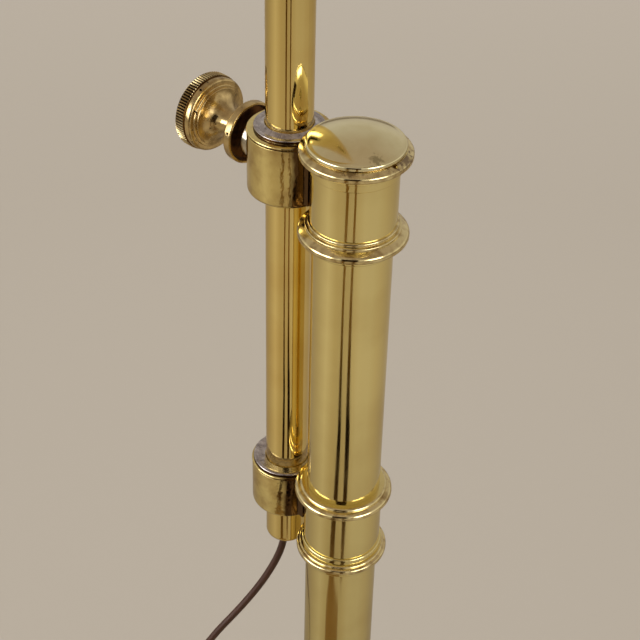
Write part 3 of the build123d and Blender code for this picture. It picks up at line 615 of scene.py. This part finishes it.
# %% Cap
cap_radius = 16.23
cap_edge = 1.28
cap_rise = 4.56
cap_rounding = 0.8
rim_inset = 0.9
groove_depth = 0.2
groove_height = 0.15
spigot_radius = 12.24
spigot_wall = 1.0
spigot_end = -10.0
dome_radius = (cap_radius ** 2 + cap_rise ** 2) / (2 * cap_rise)
dome_middle = seat + cap_edge + cap_rise - dome_radius
rim_angle = asin((cap_radius - rim_inset) / dome_radius)
rim_height = dome_middle + dome_radius * cos(rim_angle)
outline = [
    (spigot_radius - spigot_wall, spigot_end), (spigot_radius, spigot_end, 0.5), (spigot_radius, seat),
    (cap_radius - groove_depth, seat), (cap_radius - groove_depth, seat + groove_height),
    (cap_radius, seat + 2 * groove_height, 0.1), (cap_radius, rim_height - 0.05, cap_rounding)]
dome_steps = 16
for step in range(dome_steps):
    angle = rim_angle * (1 - step / dome_steps)
    outline.append((dome_radius * sin(angle), dome_middle + dome_radius * cos(angle)))
outline.append((0, dome_middle + dome_radius))
cap = turned("cap_turned", outline, cap_brass, loop=False)
refinished(cap, groove_brass, lambda radius, height: 13 < radius < cap_radius - 0.05
           and seat - 0.1 < height < seat + 0.25)
stands_for(moved(cap, bead), "column_cap")

# %% [markdown]
# ## Collars, bushes and the screw's boss
# Each collar is a short ring with a rolled lip, and a lug behind it joins it to its sleeve. They are one
# casting, so the lug is a box that a Boolean modifier joins to the ring before its edges are smoothed. Inside
# sits a bush of grey white metal with a raised rim, and under that a narrow gap where it doesn't quite touch
# the collar. The rim's side is painted dark: painted shade from the gap and a painted dark reflection. The
# clamping screw's hole goes through the upper collar and its bush.

# %% Collars
lug_half_width = 6.5
lug_inset = 2.0
lug_overlap = 1.0
lip_reach = 0.15
lip_height = 0.75
lip_groove = 0.35
upper_bore = 11.95
lower_bore = 11.1
upper_top = -3.1
lower_top = -147.5
upper_bottom = -26.43
lower_bottom = -168.3


def collar(node, radius, top, bottom, bore):
    """Collar with its lip and lug, its heights measured from the bead."""
    body = radius - lip_reach
    outline = [
        (bore, bottom), (body, bottom, 1.6), (body, top - 1.35, 0.15), (body - lip_groove, top - 1.2),
        (body - lip_groove, top - lip_height - draft), (radius, top - lip_height, 0.2), (radius, top, 0.6),
        (bore, top + 0.05)]
    piece = turned(node + "_turned", outline, collar_brass[node], segments=160)
    refinished(piece, groove_brass, lambda r, z: bore + 1 < r < body - draft and top - 1.4 < z < top - 0.7)
    moved(piece, (rod_x, 0, bead_z))
    low = bead_z / mm + bottom + lug_inset
    high = bead_z / mm + top - lug_inset
    with_lug(piece, (rod_x / mm + bore + lug_overlap, -lug_half_width, low),
             (-sleeve_radius - 0.05, lug_half_width, high))
    if node == "upper_collar":
        drilled(piece)
    stands_for(moved(piece), node)


collar("upper_collar", 14.3, upper_top, upper_bottom, upper_bore)
collar("lower_collar", 13.48, lower_top, lower_bottom, lower_bore)

# %% Bushes
rod_hole = 8.06
rim_width = 1.4
rim_rise = 0.2


def bush(node, lip, top, bore, collar_top, bottom, rim, inner_top):
    """Bush with a barrel inside the collar. Its lip may be wider than the collar's bore."""
    barrel = bore - 0.05
    outline = [
        (rod_hole, bottom), (barrel, bottom), (barrel, collar_top + 0.15), (lip, collar_top + 0.25, 0.15),
        (lip, top, rim), (lip - rim_width, top, rim / 2), (lip - rim_width - 0.3, top - rim_rise, 0.2),
        (rod_hole + 0.35, inner_top, 0.15), (rod_hole, inner_top - 0.35)]
    piece = turned(node + "_turned", outline, pewter, segments=160)
    # The side of the rim gets painted shade and a painted dark reflection
    refinished(piece, painted_rim_shade, lambda r, z: r > lip - 0.12 and collar_top - 0.5 < z < top - 0.3)
    moved(piece, (rod_x, 0, bead_z))
    if node == "upper_bush":
        drilled(piece)
    stands_for(moved(piece), node)


bush("upper_bush", upper_bore - 0.04, -1.85, upper_bore, upper_top, upper_bottom, 0.3, -0.9)
bush("lower_bush", 12.85, -146.2, lower_bore, lower_top, lower_bottom, 0.8, -146.6)

# %% Boss, turned round the screw's axis and measured from the rod's
out_along_screw = (0, -pi / 2, 0)
screw_place = (rod_x, 0, screw_z)
boss_radius = 7.75
boss_foot = 12.5
boss_face = 15.75
outline = [
    (screw_hole, 14.2), (7, boss_foot), (boss_radius, boss_foot), (boss_radius, boss_face, 0.9),
    (5.2, boss_face, 0.3), (4.8, 15.3), (screw_hole, 15.3)]
boss = turned("screw_boss_turned", outline, nickel, segments=96)
stands_for(moved(boss, screw_place, out_along_screw), "screw_boss")

# %% Rod's end, rounded where it would catch a hand
rod_radius = 8.0
plug_radius = 6.75
plug_bore = 3.3
plug_top = 12.5
plug_rim = 2.5
outline = [
    (plug_bore, plug_top), (plug_bore, 0.3), (plug_bore + 0.3, 0), (rod_radius, 0, 1.9),
    (rod_radius, plug_rim), (plug_radius, plug_rim), (plug_radius, plug_top)]
rod_end = turned("rod_end_turned", outline, rod_brass, segments=96)
stands_for(moved(rod_end, (rod_x, 0, rod_foot)), "rod_end")

# %% [markdown]
# ## Base and foot
# The cover of the base is spun: brass sheet pressed against a turning form, so it is thin and hollow and has
# soft edges. It could be a solid with its underside closed, but the hollow shows when the lamp is lifted, so
# the outline goes up the outside and comes back down the inside. A cast foot stands on it.

# %% Base and foot
skin = 1.5
base_radius = 125
base_foot = 1.0
edge_height = 12
step_radius = 112
step_height = 20.5
dome_foot = 103
dome_half = (61.8, 29.5)
dome_top = (26, 42)
stud_hole = 5.3
outline = [
    (base_radius - skin, base_foot), (base_radius, base_foot, 0.4), (base_radius, edge_height, 2.6),
    (step_radius, edge_height, 0.7), (step_radius, step_height, 2.2),
    *arc_through((dome_foot, step_height), dome_half, dome_top, steps=28),
    (stud_hole, dome_top[1]), (stud_hole, dome_top[1] - skin),
    *arc_through((dome_top[0], dome_top[1] - skin), (dome_half[0], dome_half[1] - skin),
                 (dome_foot, step_height - skin), steps=28),
    (step_radius - skin, step_height - skin, 0.5), (step_radius - skin, edge_height - skin, 0.5),
    (base_radius - skin, edge_height - skin)]
stands_for(moved(turned("base_spun", outline)), "base_shell")

stud_radius = 5.0
foot_low = 42.02
foot_radius = 22.0
spigot = 12.2
foot_top = 72.0
outline = [
    (stud_radius, 6), (stud_radius, foot_low), (foot_radius, foot_low, 0.3), (foot_radius, 47.6, 1.8),
    (19.8, 48.2, 0.4), (19.4, 50, 0.8), (spigot, 50), (spigot, 71.5, 0.5), (11, foot_top),
    (0, foot_top)]
stands_for(moved(turned("foot_turned", outline, segments=144, loop=False)), "column_foot")

# %% [markdown]
# ## Thumbscrew
# The screw's head is the most handled piece: a knurled rim, a rounded band, steps, and a trumpet neck that
# opens into a cup over the boss. The knurling could be a bump map, but its teeth show against the light, so
# they are real: the circle has two points for each tooth, and every second point of the rim is pulled in.

# %% Thumbscrew
teeth = 84
tooth_depth = 0.65
knurl_radius = 13.6
knurl_low = 37.5
knurl_high = 40.8
cup_radius = 10.93
cup_lip = 17.5
shoulder = 13.1
shoulder_high = 37.0
crown = 42.5


def pulled_in(piece, number, radius, depth):
    """Pulls in every second point of a piece's widest rings, which leaves the teeth."""
    for vertex in piece.data.vertices:
        spoke = round(atan2(vertex.co.y, vertex.co.x) / pi * number)
        vertex.select = spoke % 2 == 1 and hypot(vertex.co.x, vertex.co.y) > (radius - 0.05) * mm
    for part in list(piece.data.edges) + list(piece.data.polygons):
        part.select = False
    bpy.context.view_layer.objects.active = piece
    bpy.ops.object.mode_set(mode="EDIT")
    scale = 1 - depth / radius
    bpy.ops.transform.resize(value=(scale, scale, 1), center_override=(0, 0, 0))
    bpy.ops.object.mode_set(mode="OBJECT")


def dirt_in_valleys(material):
    """Browns a brass between the knurling's teeth."""
    tree, shader, place = parts_of(material)
    spoke = vectors(tree, "MULTIPLY", place, (0, 1, 1))
    reach = vectors(tree, "DISTANCE", spoke, (0, 0, screw_z))
    valley = between(tree, reach, (knurl_radius - 0.15) * mm, (knurl_radius - 0.42) * mm)
    recoloured(shader, valley, "#3A2A18")


dirt_in_valleys(knurl_brass)
outline = [
    (3.05, 19), (9.2, 19, 0.4), (9.9, cup_lip, 0.3), (cup_radius, cup_lip, 0.35),
    (cup_radius, 20.4, 0.9), (8.9, 21.3, 0.5), *bow((7.6, 21.6), (4.1, 22.4), (3.75, 25)),
    *bow((3.72, 26.2), (4.4, 31.4), (9.6, 33.1))[1:], (10.3, 33.2, 0.2), (10.35, 33.8), (11.2, 33.9, 0.4),
    (11.3, 34.5), (shoulder, 34.7, 1.1), (shoulder, shoulder_high, 0.6), (12.9, 37.1), (12.9, 37.25),
    (13.35, 37.35), (knurl_radius, knurl_low), (knurl_radius, knurl_high), (13.3, 41.1), (12.5, 41.3, 0.5),
    *bow((11.9, 41.5), (9.5, crown), (0, crown))]
head = turned("thumbscrew_head_turned", outline, screw_brass, segments=2 * teeth, loop=False)
refinished(head, cup_brass, lambda r, z: z < 19.4 and r < 10.2)
refinished(head, groove_brass, lambda r, z: shoulder_high < z < knurl_low - draft and r < shoulder + draft)
refinished(head, knurl_brass, lambda r, z: knurl_low - draft < z < 41.2 and r > 12.9)
pulled_in(head, teeth, knurl_radius, tooth_depth)
stands_for(moved(head, screw_place, out_along_screw), "thumbscrew_head")

# %% [markdown]
# ## Head
# The photograph stops short of the head, so it is a plain one of the same family: a spun bell shade, brass
# outside and white enamel inside, on a lampholder's shell. Their outlines are measured down from the pivot.
# The knob's flutes are pulled in like the knurling.

# %% Shade, holder and knob
shade_top = -66.0
shade_mouth = -170
mouth_radius = 90
bead_wire = 1.3
wall = 0.8
shell_radius = 16.4
shell_bore = 15.4
shell_top = -27.0
shade_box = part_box("shade")
head_place = Vector(((shade_box[0].x + shade_box[1].x) / 2, 0, shade_box[1].z - shade_top * mm))
rolled = [(mouth_radius + bead_wire * cos(angle), shade_mouth + bead_wire * sin(angle))
          for angle in (radians(80 - 20 * step) for step in range(14))]
outline = [
    (16.43, shade_top - wall), (16.43, shade_top),
    *arc_through((24, shade_top), (64, -106), (89.7, -168.9), steps=32), *rolled,
    *arc_through((88.9, -169), (63.2, -106.8), (24, shade_top - wall), steps=32)]
shade = turned("shade_spun", outline)
shade.data.materials.append(shade_white)
for face in shade.data.polygons:
    outward = face.normal.x * face.center.x + face.normal.y * face.center.y
    if outward < 0 or face.normal.z < -0.9 and face.center.z > -70 * mm:
        face.material_index = 1
stands_for(moved(shade, head_place), "shade")

outline = [
    (4.03, -16), *arc_through((8, -16), (14.6, -19.6), (17.5, shell_top), steps=10),
    (17.5, -32, 0.4), (16.5, -32),
    *arc_through((16.5, shell_top), (13.6, -20.6), (8, -17), steps=10), (4.03, -17)]
stands_for(moved(turned("holder_cap_spun", outline, segments=96), head_place), "socket_cap")

outline = [
    (shell_bore, -86), (shell_radius, -86, 0.3), (shell_radius, shade_top, 0.2), (18.4, shade_top, 0.6),
    (18.4, -63, 0.8), (shell_radius, -63, 0.3), (shell_radius, shell_top), (shell_bore, shell_top)]
stands_for(moved(turned("holder_shell_turned", outline, segments=96), head_place), "socket_shell")

knob_teeth = 28
knob_radius = 8.0
flute_depth = 0.5
spindle_hole = 2.03
switch_drop = 40
outline = [
    (spindle_hole, 19.6), (7.4, 19.6, 0.4), (knob_radius, 20.2), (knob_radius, 28.8), (7.5, 29.5, 0.3),
    (6.4, 30, 0.2), (5.6, 29.7), (spindle_hole, 29.7)]
knob = turned("switch_knob_turned", outline, segments=2 * knob_teeth)
pulled_in(knob, knob_teeth, knob_radius, flute_depth)
stands_for(moved(knob, head_place + Vector((0, 0, -switch_drop * mm)), (0, pi / 2, 0)), "switch_knob")

# %% [markdown]
# ## The cord
# The cord leaves the rod's lower end, hangs to one side in one slow curve and lies on the floor, where the
# rest is wound into a coil with its plug. It could be a tube swept along straight runs and arcs, but a real
# cord has no such joints, so its line is one smooth spline: the listed points of its route are the
# spline's control points, and a round bevel gives it its thickness.

# %% Cord
cord_radius = 1.5 * mm
cord_compass = radians(-136.6)
cord_start = 2.0 * mm
# Travel away from the rod, drift to one side, and height over the floor, in millimetres
cord_route = [
    (0, 0, (rod_foot + cord_start) / mm), (1.2, 0, 561), (4.9, 0, 549.5), (10.9, 0, 536.5),
    (19.8, 0, 521.5), (31, 0, 505), (44, 0.4, 479.5), (62, 1.2, 439.5),
    (80, 2.6, 390), (94.5, 4, 335), (104.5, 4.6, 278), (112, 4.2, 220),
    (119, 3, 164), (127.5, 1.6, 113.5), (140.5, 0.6, 69.5), (159, 0.2, 34.5),
    (183, 0, 11.5), (210, -0.8, 1.7), (235, -1.4, 1.8), (253, 0, 2.5),
    (266, 0, 2.5),
]
coil_turn_radius = 20.9
coil_step = 3.5
coil_layers = 4
coil_halves = 5
coil_height = 2.5
coil_tail = 3.0
half_turn_points = 8
# Travel back from the route's last point, and rise over the coil's last turn
tail_route = [(0, 0), (9, 0), (22, -4), (33, -6), (42, -6)]


def cord_point(travel, drift, height):
    """Place in metres of a point of the route."""
    x = travel * cos(cord_compass) + drift * sin(cord_compass)
    y = travel * sin(cord_compass) - drift * cos(cord_compass)
    return Vector((rod_x + x * mm, y * mm, height * mm))


def coil_points():
    """Points round the coil: each half turn is a little smaller or larger than the last."""
    start = cord_route[-1][0] + coil_tail
    points = []
    middle, height, side, last = coil_turn_radius, coil_height, 1, coil_turn_radius
    for layer in range(coil_layers):
        steps = list(range(coil_halves))
        if layer % 2:
            steps.reverse()
        radii = [(coil_turn_radius - step * coil_step / 2, 0) for step in steps]
        if layer < coil_layers - 1:
            beyond = coil_halves if layer % 2 == 0 else -1
            radii.append((coil_turn_radius - beyond * coil_step / 2, coil_step))
        for radius, climb in radii:
            middle += side * (radius - last)
            for part in range(half_turn_points):
                share = (part + 0.5) / half_turn_points
                along = side * radius * sin(pi * share)
                drift = middle - side * radius * cos(pi * share)
                points.append(cord_point(start + along, drift, height + climb * share))
            height += climb
            last = radius
            side = -side
    return points, middle - side * last, height


coil, coil_end, coil_top = coil_points()
tail = [cord_point(cord_route[-1][0] - travel, coil_end, coil_top + rise) for travel, rise in tail_route]
route = [cord_point(*point) for point in cord_route] + coil + tail
curve = bpy.data.curves.new("cord", "CURVE")
curve.dimensions = "3D"
spline = curve.splines.new("NURBS")
spline.points.add(len(route) - 1)
for point, place in zip(spline.points, route):
    point.co = (*place, 1.0)
spline.order_u = 3
spline.use_endpoint_u = True
spline.resolution_u = 8
curve.bevel_depth = cord_radius
curve.bevel_resolution = 6
curve.use_fill_caps = True
line = new_object("cord_line", curve)


def mesh_of_curve(shape, name):
    """Mesh object made from a curve object, which stays as it was."""
    bpy.context.view_layer.update()
    shaped = shape.evaluated_get(bpy.context.evaluated_depsgraph_get())
    return new_object(name, bpy.data.meshes.new_from_object(shaped))


cord = mesh_of_curve(line, "cord")
curve.bevel_depth = 0.0
thread = mesh_of_curve(line, "cord_thread")
bpy.data.objects.remove(thread)
bpy.data.objects.remove(line)
cord.data.materials.clear()
cord.data.materials.append(cord_sheath)
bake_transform(cord)
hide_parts("cord_drop", "cord_coil", "cord_tail")

# %% [markdown]
# ## Floor and light
# A polished metal shows what stands round it, so the studio matters as much as the metal. The floor is pale
# and the light soft. Two windows behind the camera draw the bright lines along each ring. Two dark flags that
# lean apart, and a third over them, draw the dark lines down the column: a mirror-bright tube has no shape of
# its own until something dark runs down it. The camera itself doesn't see the flags.

# %% Directions seen from the lamp
toward_camera = Vector((eye.x, eye.y, 0)).normalized()
to_the_right = Vector((-toward_camera.y, toward_camera.x, 0))
camera_compass = atan2(toward_camera.y, toward_camera.x)


def ramp(tree, share, stops):
    """Colour ramp with its stops at the given places."""
    made = add_node(tree, "ValToRGB", {"Fac": share})
    elements = made.color_ramp.elements
    for element, (position, code) in zip(elements, (stops[0], stops[-1])):
        element.position = position
        element.color = linear(code)
    for position, code in stops[1:-1]:
        elements.new(position).color = linear(code)
    return made.outputs["Color"]


def compass_ramp(tree, place, stops):
    """Colour by direction round the lamp, in degrees to the right of the camera."""
    facing = add_node(tree, "Mapping", {"Vector": place, "Rotation": (0, 0, -camera_compass)})
    share = add_node(tree, "TexGradient", {"Vector": facing.outputs["Vector"]}, gradient_type="RADIAL")
    return ramp(tree, share.outputs["Fac"], [(degrees / 360 + 0.5, code) for degrees, code in stops])


def made_matt(shader):
    """Takes the shine off a shader."""
    feed(shader, "Roughness", 1.0)
    feed(shader, "Specular IOR Level", 0.0)


print("camera stands", round(camera_compass / pi * 180), "degrees round the lamp")

# %% Floor
floor_size = 12.0
foot_shade_range = (0.42, 0.85)
foot_shade_shares = (0.8, 1.12)
fade_range = (1.2, 2.4)
bpy.ops.mesh.primitive_plane_add(size=floor_size, location=(0, 0, 0))
floor = bpy.context.object
floor.name = "studio_floor"
floor_paint, tree, shader, place = new_material("studio_floor_paint")
rays = add_node(tree, "LightPath")
# Seen in the metal, the floor is painted lighter towards the two windows, a painted light, and darker
# behind the lamp and close to its foot, a painted shade
painted_window_light = compass_ramp(tree, place, [
    (-180, "#D9D3CA"), (-128, "#D1CAC0"), (-102, "#E2DDD3"), (-68, "#FDFCF9"), (-42, "#E8E2D4"),
    (-10, "#E4DDD0"), (12, "#F4EFE6"), (30, "#FFFFFF"), (64, "#FFFFFF"), (90, "#F6F2EA"), (128, "#DED8CE"),
    (180, "#D9D3CA")])
distance = vectors(tree, "LENGTH", place)
# Painted shade near the lamp's foot, seen only in the metal
painted_foot_shade = between(tree, distance, *foot_shade_range, *foot_shade_shares)
in_metal = add_node(tree, "VectorMath", {0: painted_window_light, "Scale": painted_foot_shade}, operation="SCALE").outputs["Vector"]
# Only glossy rays see this painted light and shade; other rays see the plain floor
seen = blended(tree, rays.outputs["Is Glossy Ray"], "#FFFFFF", in_metal)
paint = {0: 1.0, 6: linear("#C3B8A9"), 7: seen}
feed(shader, "Base Color", add_node(tree, "Mix", paint, data_type="RGBA", blend_type="MULTIPLY").outputs[2])
made_matt(shader)
# Far from the lamp the floor melts into the backdrop, so that no horizon is seen
far_away = times(tree, between(tree, distance, *fade_range), rays.outputs["Is Camera Ray"])
clear = add_node(tree, "BsdfTransparent").outputs["BSDF"]
ground = add_node(tree, "MixShader", {0: far_away, 1: shader.outputs["BSDF"], 2: clear})
feed(tree.nodes["Material Output"], "Surface", ground.outputs["Shader"])
floor.data.materials.append(floor_paint)
print(floor.name, floor_size, "m wide, fading out", fade_range[1], "m from the lamp")

# %% Dark flags
def add_flag(name, shades, levels):
    """Card seen in the metal. Shades are heights and colours. Levels are a height, the left and right edges
    in degrees, and the distance."""
    bpy.ops.mesh.primitive_grid_add(x_subdivisions=1, y_subdivisions=len(levels) - 1, location=(0, 0, 0))
    flag = bpy.context.object
    flag.name = name
    corners = []
    for height, left, right, away in levels:
        for angle in (radians(left), radians(right)):
            way = toward_camera * cos(angle) + to_the_right * sin(angle)
            corners.append(away * way + Vector((0, 0, height)))
    for vertex, corner in zip(flag.data.vertices, corners):
        vertex.co = corner
    cloth, tree, shader, place = new_material(name + "_cloth")
    height = add_node(tree, "SeparateXYZ", {"Vector": place}).outputs["Z"]
    feed(shader, "Base Color", ramp(tree, height, shades))
    made_matt(shader)
    flag.data.materials.append(cloth)
    flag.visible_camera = flag.visible_diffuse = flag.visible_shadow = flag.visible_transmission = False
    print(name, "with", len(levels), "levels")


far = 0.55
# Colours by height. The brown at the floor's level is a painted shadow lying on the floor, seen only in the
# metal
flag_and_floor_shadow_colours = [(0.0, "#7E6240"), (0.1, "#4A331A"), (0.15, "#1B1009"), (0.2, "#1B1009"), (0.31, "#8C6A38"),
                (0.4, "#94713C"), (0.6, "#4A331A")]
# The left flag's two lowest levels lie flat on the floor near the lamp: a painted shadow there
left_levels = [
    (0.003, -44, 0, 0.36), (0.003, -42, -2, 0.52), (0.01, -34, -20, far), (0.05, -33, -19, far),
    (0.133, -26, -14, far), (0.184, -22, -13, far), (0.21, -23, -15.5, far), (0.313, -23.2, -17.6, far),
    (0.397, -20.5, -13.5, far), (0.6, -20, -13, far)]
right_levels = [
    (0.003, 1, 8, far), (0.05, 0, 10, far), (0.133, 1.5, 14.5, far), (0.184, 0.5, 13, far),
    (0.21, -0.5, 9, far), (0.313, -1.5, 5, far), (0.397, 0.7, 5.9, far), (0.6, 1, 6, far)]
add_flag("left_flag", flag_and_floor_shadow_colours, left_levels)
add_flag("right_flag", flag_and_floor_shadow_colours, right_levels)
add_flag("upper_flag", [(0.0, "#4A331A"), (1.0, "#2A1A0E")],
         [(0.6, -20, 12, far), (1.1, -20, 12, far)])

# %% World
# Heights are those of a direction: -1 is underfoot, 0 level and 1 overhead
window_glare = 4.6
fill_strength = 0.4
sill = (-0.06, -0.01)
lintel = (0.45, 0.38)
skirting = (-0.08, 0.02)
wall_top = (0.6, 0.25)
world = bpy.data.worlds.new("studio")
bpy.context.scene.world = world
world.use_nodes = True
sky = world.node_tree
sky.nodes.clear()
direction = add_node(sky, "TexCoord").outputs["Generated"]
height = add_node(sky, "SeparateXYZ", {"Vector": direction}).outputs["Z"]
room = ramp(sky, between(sky, height, -1.0, 1.0), [((level + 1) / 2, code) for level, code in (
    (-1.0, "#A69B8C"), (-0.12, "#A69B8C"), (0.0, "#B8B0A6"), (0.25, "#BDB6AE"), (0.5, "#B3ABA2"),
    (0.8, "#A79A8D"), (1.0, "#A39384"))])
walls = compass_ramp(sky, direction, [
    (-135, "#000000"), (-105, "#FFFFFF"), (105, "#FFFFFF"), (130, "#000000")])
low_walls = times(sky, between(sky, height, *skirting), between(sky, height, *wall_top))
room = blended(sky, times(sky, walls, low_walls), room, "#DDD6CB")
windows = compass_ramp(sky, direction, [
    (-92, "#000000"), (-80, "#FFFFFF"), (-44, "#FFFFFF"), (-34, "#000000"),
    (24, "#000000"), (32, "#FFFFFF"), (56, "#FFFFFF"), (64, "#000000")])
window_share = times(sky, windows, times(sky, between(sky, height, *sill), between(sky, height, *lintel)))
room = blended(sky, window_share, room, "#FFFFFF")
glare = reckoned(sky, "MULTIPLY_ADD", window_share, window_glare, 1.0)
rays = add_node(sky, "LightPath").outputs
mirrored = reckoned(sky, "MAXIMUM", rays["Is Glossy Ray"], rays["Is Transmission Ray"])
backdrop = add_node(sky, "Background", {"Color": linear("#C2B7A8"), "Strength": 1.0}).outputs[0]
seen_room = add_node(sky, "Background", {"Color": room, "Strength": glare}).outputs[0]
light = add_node(sky, "Background", {"Color": linear("#F4F1EC"), "Strength": fill_strength}).outputs[0]
lit = add_node(sky, "MixShader", {0: rays["Is Camera Ray"], 1: light, 2: backdrop}).outputs[0]
both = add_node(sky, "MixShader", {0: mirrored, 1: lit, 2: seen_room}).outputs[0]
add_node(sky, "OutputWorld", {"Surface": both})
print("room of", len(sky.nodes), "nodes")

# %% Lamps, which aren't seen in the metal
for name, forward, right, height, target, size, power in (
        ("overhead_softbox", 0.3, 0.0, 3.0, bead, 2.2, 40),
        ("far_softbox", -2.2, 0.0, 2.4, toward_camera * -2.0, 1.4, 14),
        ("side_softbox", 1.0, -2.2, 2.0, bead, 1.4, 14)):
    data = bpy.data.lights.new(name, "AREA")
    data.size = size
    data.energy = power
    lamp = new_object(name, data)
    lamp.location = toward_camera * forward + to_the_right * right + Vector((0, 0, height))
    lamp.rotation_euler = (target - lamp.location).to_track_quat("-Z", "Y").to_euler()
    lamp.visible_glossy = False
    print(name, power, "W")
